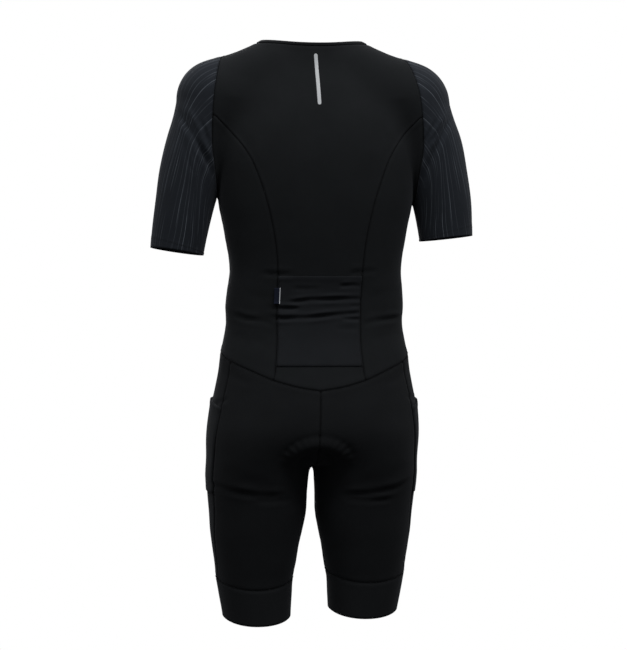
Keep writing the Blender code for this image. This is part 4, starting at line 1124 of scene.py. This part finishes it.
def knit(name, dark, light, roughness=0.9, sheen=0.05, wale=WALE, course=COURSE, grain=0.25, lines=None):
    """Warp-knit cloth; `lines` adds fine woven-in stripes along the panel, as on the sleeves."""
    made = bpy.data.materials.new(name)
    made.use_nodes = True
    tree = made.node_tree
    shader = tree.nodes["Principled BSDF"]
    for key, value in (("Roughness", roughness), ("Specular IOR Level", 0.12), ("Sheen Weight", sheen),
                       ("Sheen Roughness", 0.45), ("Sheen Tint", (0.75, 0.8, 0.9, 1.0))):
        shader.inputs[key].default_value = value
    uv = add(tree, "ShaderNodeUVMap", {"uv_map": "cloth"})
    split = add(tree, "ShaderNodeSeparateXYZ", links={0: uv.outputs[0]})
    across = maths(tree, "MULTIPLY", {0: split.outputs[0]}, {1: 2 * np.pi / (wale * MM)})
    along_it = maths(tree, "MULTIPLY", {0: split.outputs[1]}, {1: 2 * np.pi / (course * MM)})
    columns = maths(tree, "SINE", {0: across.outputs[0]})
    bend = maths(tree, "MULTIPLY_ADD", {0: columns.outputs[0], 2: along_it.outputs[0]}, {1: 1.6})
    loops = maths(tree, "SINE", {0: bend.outputs[0]})
    height = maths(tree, "MULTIPLY_ADD", {0: columns.outputs[0], 2: loops.outputs[0]}, {1: 0.8})
    place = add(tree, "ShaderNodeTexCoord")
    uneven = mottle(tree, place, 26.0, 4.0, 0.55)
    uneven = maths(tree, "MULTIPLY_ADD", {0: uneven.outputs[0]}, {1: 0.35, 2: 0.33})
    fibre = mottle(tree, place, 900.0, 2.0)
    tone = maths(tree, "MULTIPLY_ADD", {0: height.outputs[0], 2: uneven.outputs[0]}, {1: 0.05})
    tone = maths(tree, "MULTIPLY_ADD", {0: fibre.outputs[0], 2: tone.outputs[0]}, {1: grain})
    ramp = add(tree, "ShaderNodeMapRange", links={"Value": tone.outputs[0]},
               inputs={"From Min": 0.35, "From Max": 0.95})
    colour = add(tree, "ShaderNodeMix", {"data_type": "RGBA"}, {"Factor": ramp.outputs[0]},
                 {"A": rgba(dark), "B": rgba(light)})
    result = colour.outputs["Result"]
    if lines:
        result = stripes(tree, split, result, *lines)
    tree.links.new(result, shader.inputs["Base Color"])
    bump = add(tree, "ShaderNodeBump", links={"Height": height.outputs[0]},
               inputs={"Strength": 0.22, "Distance": 0.10 * MM})
    tree.links.new(bump.outputs[0], shader.inputs["Normal"])
    return made


def stripes(tree, split, under, pale, spacing, width):
    """Thin lines along the cloth, unevenly spaced, some in pairs, that come and go."""
    result = under
    for scale, strength, offset in ((1.0, 0.8, 0.0), (0.55, 0.3, 3.7)):
        step = spacing * scale * MM
        value = maths(tree, "MULTIPLY_ADD", {0: split.outputs[0]}, {1: 1 / step, 2: offset})
        cells = add(tree, "ShaderNodeTexVoronoi",
                    {"voronoi_dimensions": "1D", "feature": "DISTANCE_TO_EDGE"},
                    {"W": value.outputs[0]}, {"Scale": 1.0, "Randomness": 1.0})
        line = add(tree, "ShaderNodeMapRange", {"interpolation_type": "SMOOTHSTEP"},
                   {"Value": cells.outputs["Distance"]},
                   {"From Min": width / (spacing * scale), "From Max": 0.0, "To Min": 0.0,
                    "To Max": strength})
        where = add(tree, "ShaderNodeCombineXYZ", links={"X": value.outputs[0], "Y": split.outputs[1]})
        stretch = add(tree, "ShaderNodeVectorMath", {"operation": "MULTIPLY"}, {0: where.outputs[0]},
                      {1: (0.9, 14.0, 1.0)})
        come = add(tree, "ShaderNodeTexNoise", links={"Vector": stretch.outputs[0]},
                   inputs={"Scale": 1.0})
        level = add(tree, "ShaderNodeMapRange", links={"Value": come.outputs[0]},
                    inputs={"From Min": 0.38, "From Max": 0.62})
        amount = maths(tree, "MULTIPLY", {0: line.outputs[0], 1: level.outputs[0]})
        mixed = add(tree, "ShaderNodeMix", {"data_type": "RGBA"},
                    {"Factor": amount.outputs[0], "A": result}, {"B": rgba(pale)})
        result = mixed.outputs["Result"]
    return result


body_knit = knit("black warp knit", "0e1012", "1a1c1e")
shorts_knit = knit("black dense warp knit", "0c0d0f", "151719", sheen=0.04)
pocket_knit = knit("black pocket knit", "131518", "1e2023")
band_knit = knit("black elastic band", "101113", "191b1d", wale=2.4, course=0.7, sheen=0.04)
sleeve_knit = knit("slate striped knit", "181b20", "22262c", sheen=0.08, lines=("646a72", 19.0, 0.75))
binding_knit = knit("black folded binding", "0e0f11", "17191b", wale=0.8)
pad_knit = knit("grey pad facing", "2b2c2f", "3a3b3f", wale=1.6)

FINISHES = (
    ("sleeve", sleeve_knit), ("leg_gripper", band_knit), ("back_pocket", pocket_knit),
    ("neck_binding", binding_knit), ("seat_pad", pad_knit),
    (("seat_cloth", "side_panel", "front_leg"), shorts_knit), ("", body_knit),
)
for name, made in pieces.items():
    finish = next(finish for start, finish in FINISHES if name.startswith(start))
    made.data.materials.append(finish)
print("knits on", len(pieces), "pieces")


# %% [markdown]
# Thread, tape, metal and reflective film are simple beside the knit: one colour with a little
# unevenness, and the gloss that each really has.

# %% Plain materials
def plain(name, dark, light, roughness, metallic=0.0, scale=400.0, bump=0.1, specular=0.3):
    """A material between two close colours, mottled at one scale."""
    made = bpy.data.materials.new(name)
    made.use_nodes = True
    tree = made.node_tree
    shader = tree.nodes["Principled BSDF"]
    shader.inputs["Metallic"].default_value = metallic
    shader.inputs["Roughness"].default_value = roughness
    shader.inputs["Specular IOR Level"].default_value = specular
    place = add(tree, "ShaderNodeTexCoord")
    noise = mottle(tree, place, scale, 3.0)
    colour = add(tree, "ShaderNodeMix", {"data_type": "RGBA"}, {"Factor": noise.outputs[0]},
                 {"A": rgba(dark), "B": rgba(light)})
    tree.links.new(colour.outputs["Result"], shader.inputs["Base Color"])
    rough = add(tree, "ShaderNodeBump", links={"Height": noise.outputs[0]},
                inputs={"Strength": bump, "Distance": 0.1 * MM})
    tree.links.new(rough.outputs[0], shader.inputs["Normal"])
    return made


thread = plain("black polyester thread", "08090a", "111214", 0.75, specular=0.1)
grey_thread = plain("charcoal polyester thread", "15171a", "212428", 0.7, specular=0.15)
film = plain("grey reflective film", "8f9295", "b4b7ba", 0.35, scale=1500, specular=0.5)
nickel = plain("black nickel plated zinc", "6a6b6e", "88898c", 0.32, metallic=1.0, scale=220)
coil = plain("black nylon coil", "141517", "1e1f22", 0.4)
tape = plain("black woven zip tape", "131416", "1e2022", 0.85, scale=900)
tab_weave = plain("navy woven tab", "0a0c14", "1c2233", 0.8, scale=700, specular=0.1)
tab_edge = plain("white woven edge", "a9adb3", "d4d6da", 0.8, scale=700)
print("materials:", len(bpy.data.materials))


# %% [markdown]
# Every seam line is the shared edge of two panels, lifted onto the cloth.  A cover stitch shows as
# a ladder of short crossing threads, so one line gets stitches turned across it and a finer one
# runs along each side.

# %% Seams
COVER_HALF_WIDTH = 2.1      # from the seam to the outer row of its cover stitch


def seam_lines():
    """Every seam's line of points, with the part of the figure that it lies on."""
    lines = {}
    for side in SIDES:
        grid, gripper = shorts[side]
        a, b = SEAT_COLUMNS, SEAT_COLUMNS + SIDE_COLUMNS
        ring = panels["sleeve_" + side][0]
        lines["armscye_" + side] = (np.concatenate([ring, ring[:1]]), "all")
        lines["back_seam_" + side] = (panels["back_side_" + side][:, 0], "torso")
        lines["side_seam_" + side] = (panels["front_" + side][:PRINCESS_ROWS + 1, 0], "torso")
        lines["shoulder_" + side] = (panels["front_" + side][-SHOULDER_ROWS - 1:, 0], "torso")
        lines["waist_" + side] = (grid[0], "torso")
        lines["seat_side_" + side] = (grid[:gripper + 1, a], side + " leg")
        lines["side_front_" + side] = (grid[:gripper + 1, b], side + " leg")
        lines["band_" + side] = (grid[gripper], side + " leg")
        lines["inseam_" + side] = (grid[HIP_ROWS:gripper + 1, 0], side + " leg")
    grid = shorts["left"][0]
    down, back_up = grid[:HIP_ROWS + 1, 0], grid[:HIP_ROWS, -1][::-1]
    lines["centre_seam"] = (np.concatenate([down, back_up]), "all")
    return lines


for name, (line, keep) in seam_lines().items():
    normal = unit(slope(line, keep))
    tangent = unit(np.gradient(line, axis=0))
    across = unit(np.cross(normal, tangent))
    relief = crease_height(line)[:, None] + pad_height(line)[:, None] - 0.35
    middle = line + normal * relief
    sew("cover_stitch_" + name, [middle + normal * 0.05], thread, pitch=1.3, length=3.4,
        thickness=0.55, turn=1.1)
    beside = [middle + across * sign * COVER_HALF_WIDTH + normal * 0.25 for sign in (1, -1)]
    sew("edge_stitch_" + name, beside, thread, pitch=2.4, length=2.1, thickness=0.5)

# %% [markdown]
# Hems and pocket mouths are turned and sewn with two parallel rows.  A row follows the same grid as
# the cloth, at a fixed distance from the edge, so it stays on the hem however the cloth curves.

# %% Hem stitches
def row_from_edge(grid, distance, end=-1):
    """The line of a grid at a distance from its last (or first) row."""
    lines = grid if end == 0 else grid[::-1]
    steps = np.linalg.norm(np.diff(lines, axis=0), axis=-1).mean(1)
    place = np.interp(distance, np.r_[0, np.cumsum(steps)], np.arange(len(lines)))
    low = int(place)
    return lines[low] * (1 - place + low) + lines[low + 1] * (place - low)


def closed(line):
    """The line with its first point repeated at its end."""
    return np.concatenate([line, line[:1]])


def on_cloth(line, keep, height):
    """A line moved out to the cloth's outer face, creases included, plus a height."""
    relief = crease_height(line) + pad_height(line)
    return line + unit(slope(line, keep)) * (relief + height)[:, None]


for side in SIDES:
    sleeve = panels["sleeve_" + side]
    keep = side + " arm"
    hems = [on_cloth(closed(row_from_edge(sleeve, d)), keep, 0.42) for d in (9.0, 10.6)]
    sew("sleeve_hem_stitch_" + side, hems, grey_thread, pitch=2.5, length=2.2, thickness=0.5)
    mouth = on_cloth(row_from_edge(side_pocket_grid(side), 8.0, end=0), side + " leg", WALL + 0.9)
    sew("side_pocket_stitch_" + side, [mouth], thread, pitch=2.5, length=2.2)
mouths = [on_cloth(row_from_edge(pocket_grid, d), "torso", WALL + 0.85) for d in (6.8, 8.2)]
floor_line = on_cloth(row_from_edge(pocket_grid, 2.0, end=0), "torso", WALL + 0.45)
side_lines = [on_cloth(pocket_grid[:, k], "torso", WALL + 0.6) for k in (1, -2)]
sew("back_pocket_stitch", mouths + [floor_line] + side_lines, thread, pitch=2.5, length=2.2)
sew("neck_binding_stitch", [on_cloth(neck_rows[1], "torso", 0.95)], grey_thread, pitch=2.4,
    length=2.1, thickness=0.45)

# %% [markdown]
# Small trims: a woven tab sewn into the pocket's side seam, and a plain strip of reflective film
# high on the back.  Both are thin patches laid on the cloth below them.

# %% Woven tab and reflective strip
STRIP = {"half_width": 2.8, "bottom": -96, "top": -12}


def laid_patch(name, x_edges, z_edges, lift, wall, finish, rounded=False, cells=(10, 24)):
    """A thin patch on the back, `lift` above the body's surface, with round ends if asked."""
    z = np.linspace(*z_edges, cells[1])[:, None]
    t = np.linspace(-1, 1, cells[0])[None, :]
    middle, half = (x_edges[0] + x_edges[1]) / 2, (x_edges[1] - x_edges[0]) / 2
    from_end = np.minimum(z - z_edges[0], z_edges[1] - z)
    if rounded:
        t = t * np.sqrt(np.clip(1 - (1 - np.clip(from_end / half, 0, 1)) ** 2, 0.02, 1))
    grid = cast(lambda r: xyz(middle + half * t, r, z + 0 * t), 150, "torso")
    normal = unit(slope(grid, "torso"))
    outer = grid + normal * (lift + crease_height(grid))[..., None]
    made = thin_wall(name, grid, outer, normal, wall)
    made.data.materials.append(finish)
    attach(made, "suit")
    return made


tab = laid_patch("woven_tab", (TAB["left"], TAB["right"]), (TAB["bottom"], TAB["top"]), WALL + 1.7, 0.6,
                 tab_weave)
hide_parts("pocket_label")
laid_patch("woven_tab_edge", (TAB["left"] - 1.2, TAB["left"] - 0.1), (TAB["bottom"], TAB["top"]),
           WALL + 1.75, 0.6, tab_edge, cells=(4, 24))
laid_patch("reflective_strip", (-STRIP["half_width"], STRIP["half_width"]),
           (STRIP["bottom"], STRIP["top"]), 0.14, 0.2, film, rounded=True, cells=(10, 60))


# %% [markdown]
# The zip is at the front: a woven tape under a closed coil, a slider at the neck and a pull that
# swings on it.  The pull is the one moving part, so it rides on its own body.

# %% Zip tape and coil
zip_left = along(panels["zip_edge_left"], 60 * FINE)
tape_across = np.linspace(-ZIP_HALF_WIDTH_MM, ZIP_HALF_WIDTH_MM, 9)
zip_grid = cast(lambda r: xyz(tape_across[None, :], -r, zip_left[:, 2:3]), 160, "torso")
zip_normal = unit(slope(zip_grid, "torso"))
zip_relief = crease_height(zip_grid)[..., None]
zip_outer = zip_grid + zip_normal * (zip_relief + 0.2)
zip_tape = thin_wall("zip_tape", zip_grid, zip_outer, zip_normal, 1.0)
zip_tape.data.materials.append(tape)
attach(zip_tape, "suit")
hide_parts("zip")
coil_middle = zip_grid[:, 4] + zip_normal[:, 4] * (zip_relief[:, 4] + 0.7)
right_way = np.array([1.0, 0.0, 0.0])
sew("zip_coil", [coil_middle + right_way * side for side in (-0.9, 0.9)], coil, pitch=1.5, length=2.4,
    thickness=1.0, turn=1.35)
tape_rows = [zip_outer[:, column] + zip_normal[:, column] * 0.1 for column in (1, 7)]
sew("zip_tape_stitch", tape_rows, thread, pitch=2.4, length=2.1, thickness=0.4)


# %% [markdown]
# The slider is a body with a rounded top plate and a bridge; the pull is a flat plate with a slot,
# hung on the bridge.  Each is a stack of plates with rounded outlines, bevelled.

# %% Slider and pull
PULL_LENGTH, PULL_WIDTH = 27.0, 6.0
PULL_EYE = 1.2              # from the hinge to the pull's top edge
PULL_LIFT = 6.9             # from the tape's middle to the hinge
PULL_PIVOT_RISE = 3.5       # the hinge sits above the slider's middle
PULL_SPLIT = 3.5            # the pull's two halves meet this far above its middle
PULL_THICKNESS = 1.6
PLATE_ROUND = 0.35          # how far a plate's rims are rounded
SLIDER_PLATES = [
    # width, length, taper, hole, bottom, top, distance up from the slider's middle
    (9.0, 12.4, 0.72, 1.2, 3.7, 5.2, 0.0),
    (8.4, 12.0, 0.72, 1.2, 1.2, 2.3, 0.0),
    (3.4, 6.0, 0.6, 1.0, 2.0, 4.0, 2.6),
]
BRIDGE_STEPS, BRIDGE_SIDES = 14, 12
BRIDGE_HALF_LENGTH, BRIDGE_REACH = 3.0, 1.9


def outline(width, length, taper=1.0, corner=0.35, count=64):
    """A rounded plate's outline, centred; `taper` narrows its lower end."""
    a = np.linspace(0, 2 * np.pi, count, endpoint=False)
    power = 2 / (2 + 6 * (0.5 - corner))
    c, s = np.cos(a), np.sin(a)
    x = np.sign(c) * np.abs(c) ** power * width / 2
    y = np.sign(s) * np.abs(s) ** power * length / 2
    return np.stack([x * (1 + (taper - 1) * (0.5 - y / length)), y], -1)


def plate(outer, inner, low, high, axes, at):
    """Points and faces of a plate between two outlines of equal count, with rounded rims."""
    n = len(outer)
    right, up, out = axes
    rings = []
    for edge, sign in ((outer, 1), (inner, -1)):
        for inset, level in ((PLATE_ROUND, low), (0.0, low + PLATE_ROUND),
                             (0.0, high - PLATE_ROUND), (PLATE_ROUND, high)):
            reach = np.linalg.norm(edge, axis=1, keepdims=True)
            ring = edge * (1 - sign * inset / np.maximum(reach, 0.5))
            rings.append(at + ring[:, :1] * right + ring[:, 1:] * up + level * out)
    points = np.concatenate(rings)
    order = [0, 1, 2, 3, 7, 6, 5, 4, 0]
    faces = []
    for a, b in zip(order, order[1:]):
        i = np.arange(n)
        j = (i + 1) % n
        faces.append(np.stack([a * n + i, a * n + j, b * n + j, b * n + i], -1))
    return points, np.concatenate(faces)


def joined(name, parts, finish, body, node):
    """One object from several sets of points and faces."""
    points, faces, start = [], [], 0
    for p, f in parts:
        points.append(p)
        faces.append(f + start)
        start += len(p)
    made = mesh_object(name, posed(np.concatenate(points)), np.concatenate(faces))
    made.data.materials.append(finish)
    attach(made, body)
    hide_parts(node)
    return made


coarse = along(panels["zip_edge_left"], 18)     # the slider sits one step below the zip's top
perch = cast(lambda r: xyz(0.0, -r, coarse[-2, 2]), 160, "torso")
out = unit(slope(perch[None], "torso")[0])
up = np.cross(out, right_way)
up = unit(up * np.sign(up[2]))
axes = (right_way, up, out)
slider_parts = [
    plate(outline(width, length, taper), outline(hole, hole), low, high, axes, perch + up * rise)
    for width, length, taper, hole, low, high, rise in SLIDER_PLATES
]
hinge = perch + out * PULL_LIFT + up * PULL_PIVOT_RISE
bridge_turn = np.linspace(0, np.pi, BRIDGE_STEPS)
bridge_path = (hinge - out * BRIDGE_REACH + np.outer(np.cos(bridge_turn), up) * BRIDGE_HALF_LENGTH
               + np.outer(np.sin(bridge_turn), out) * BRIDGE_REACH)
ring_turn = np.linspace(0, 2 * np.pi, BRIDGE_SIDES, endpoint=False)
spokes = np.outer(np.cos(bridge_turn), up) + np.outer(np.sin(bridge_turn), out)
tube = (bridge_path[:, None] + spokes[:, None] * (np.cos(ring_turn) * 0.65)[None, :, None]
        + right_way * (np.sin(ring_turn) * 0.9)[None, :, None])
index = np.arange(BRIDGE_STEPS * BRIDGE_SIDES).reshape(BRIDGE_STEPS, BRIDGE_SIDES)
turned = np.roll(index, -1, axis=1)
tube_faces = np.stack([index[:-1], turned[:-1], turned[1:], index[1:]], -1).reshape(-1, 4)
slider_parts.append((tube.reshape(-1, 3), tube_faces))
joined("zip_slider_body", slider_parts, nickel, "suit", "zip_slider")

pull_middle = hinge - up * (PULL_LENGTH / 2 - PULL_EYE)
slot = outline(2.6, 2.4, corner=0.5)
pull_outline = outline(PULL_WIDTH, PULL_LENGTH, 1.0, corner=0.28)
eye = np.array([0, PULL_LENGTH / 2 - 2.6])
lower_slot = outline(2.4, 9.0, corner=0.45) + np.array([0, -7.0])
top_half, low_half = pull_outline.copy(), pull_outline.copy()
top_half[:, 1] = np.maximum(top_half[:, 1], PULL_SPLIT)
low_half[:, 1] = np.minimum(low_half[:, 1], PULL_SPLIT)
shift_top, shift_low = np.array([0, 8.5]), np.array([0, -5.0])
pull_parts = []
for half, shift, hole in ((top_half, shift_top, slot + eye), (low_half, shift_low, lower_slot)):
    pull_parts.append(plate(half - shift, hole - shift, -PULL_THICKNESS / 2, PULL_THICKNESS / 2, axes,
                            pull_middle + up * shift[1]))
joined("zip_pull_plate", pull_parts, nickel, "zip_pull", "zip_pull")
print("slider:", len(slider_parts), "parts; pull:", len(pull_parts), "plates")

# %% [markdown]
# Soft studio light: broad lamps from above on both sides, a little stronger over the wearer's right
# shoulder, and a dim fill, so near-black cloth still shows its folds.  The background is white to the
# camera, and the surroundings that light the cloth are bright overhead and dark underfoot.

# %% Light
world = bpy.data.worlds.new("studio")
bpy.context.scene.world = world
world.use_nodes = True
tree = world.node_tree
tree.nodes.clear()
place = add(tree, "ShaderNodeTexCoord")
split = add(tree, "ShaderNodeSeparateXYZ", links={0: place.outputs["Generated"]})
height = add(tree, "ShaderNodeMapRange", links={"Value": split.outputs[2]},
             inputs={"From Min": -0.5, "From Max": 1.0, "To Min": 0.015, "To Max": 0.85})
around = add(tree, "ShaderNodeBackground", {}, {"Strength": height.outputs[0]},
             {"Color": (1.0, 1.0, 1.0, 1.0)})
seen = add(tree, "ShaderNodeBackground", inputs={"Color": (1.0, 1.0, 1.0, 1.0), "Strength": 1.0})
ray = add(tree, "ShaderNodeLightPath")
mix = add(tree, "ShaderNodeMixShader", links={0: ray.outputs["Is Camera Ray"], 1: around.outputs[0],
          2: seen.outputs[0]})
add(tree, "ShaderNodeOutputWorld", links={"Surface": mix.outputs[0]})


def lamp(name, at, aim, size, power):
    """A round soft lamp at one point, turned to another."""
    light = bpy.data.lights.new(name, "AREA")
    light.shape, light.size, light.energy = "DISK", size, power
    made = bpy.data.objects.new(name, light)
    bpy.context.scene.collection.objects.link(made)
    made.location = at
    made.rotation_euler = (Vector(aim) - Vector(at)).to_track_quat("-Z", "Y").to_euler()
    return made


# name, place and aim in metres, size across in metres, power in watts
LAMPS = [
    ("key_over_right_shoulder", (-0.9, 1.5, 1.9), (0, 0, -0.3), 0.9, 32),
    ("key_over_left_shoulder", (1.0, 1.5, 1.8), (0, 0, -0.4), 0.9, 15),
    ("front_fill", (0.3, -2.2, 0.6), (0, 0, -0.4), 1.4, 20),
]
for row in LAMPS:
    lamp(*row)
print("lamps:", len(LAMPS))

# %% [markdown]
# The camera looks level at the back, a little from the wearer's left, through a long lens.

# %% Camera
VIEW_DISTANCE = 2.8         # metres
SENSOR, LENS = 36, 96.9     # millimetres
AIM_HEIGHT, AIM_SIDE = -0.4368, -0.004
TOWARD, SIDEWAYS = (0.0958, 0.9954, 0.0), (0.9954, -0.0958, 0.0)

scene = bpy.context.scene
scene.view_settings.view_transform = "Standard"
camera = bpy.data.cameras.new("camera")
camera.sensor_width, camera.lens = SENSOR, LENS
eye_point = bpy.data.objects.new("camera", camera)
scene.collection.objects.link(eye_point)
toward, sideways = Vector(TOWARD), Vector(SIDEWAYS)
target = Vector((0, 0, AIM_HEIGHT)) + sideways * AIM_SIDE
eye_point.location = target + toward * VIEW_DISTANCE
eye_point.rotation_euler = (-toward).to_track_quat("-Z", "Y").to_euler()
scene.camera = eye_point
print("camera:", LENS, "mm lens at", VIEW_DISTANCE, "m")
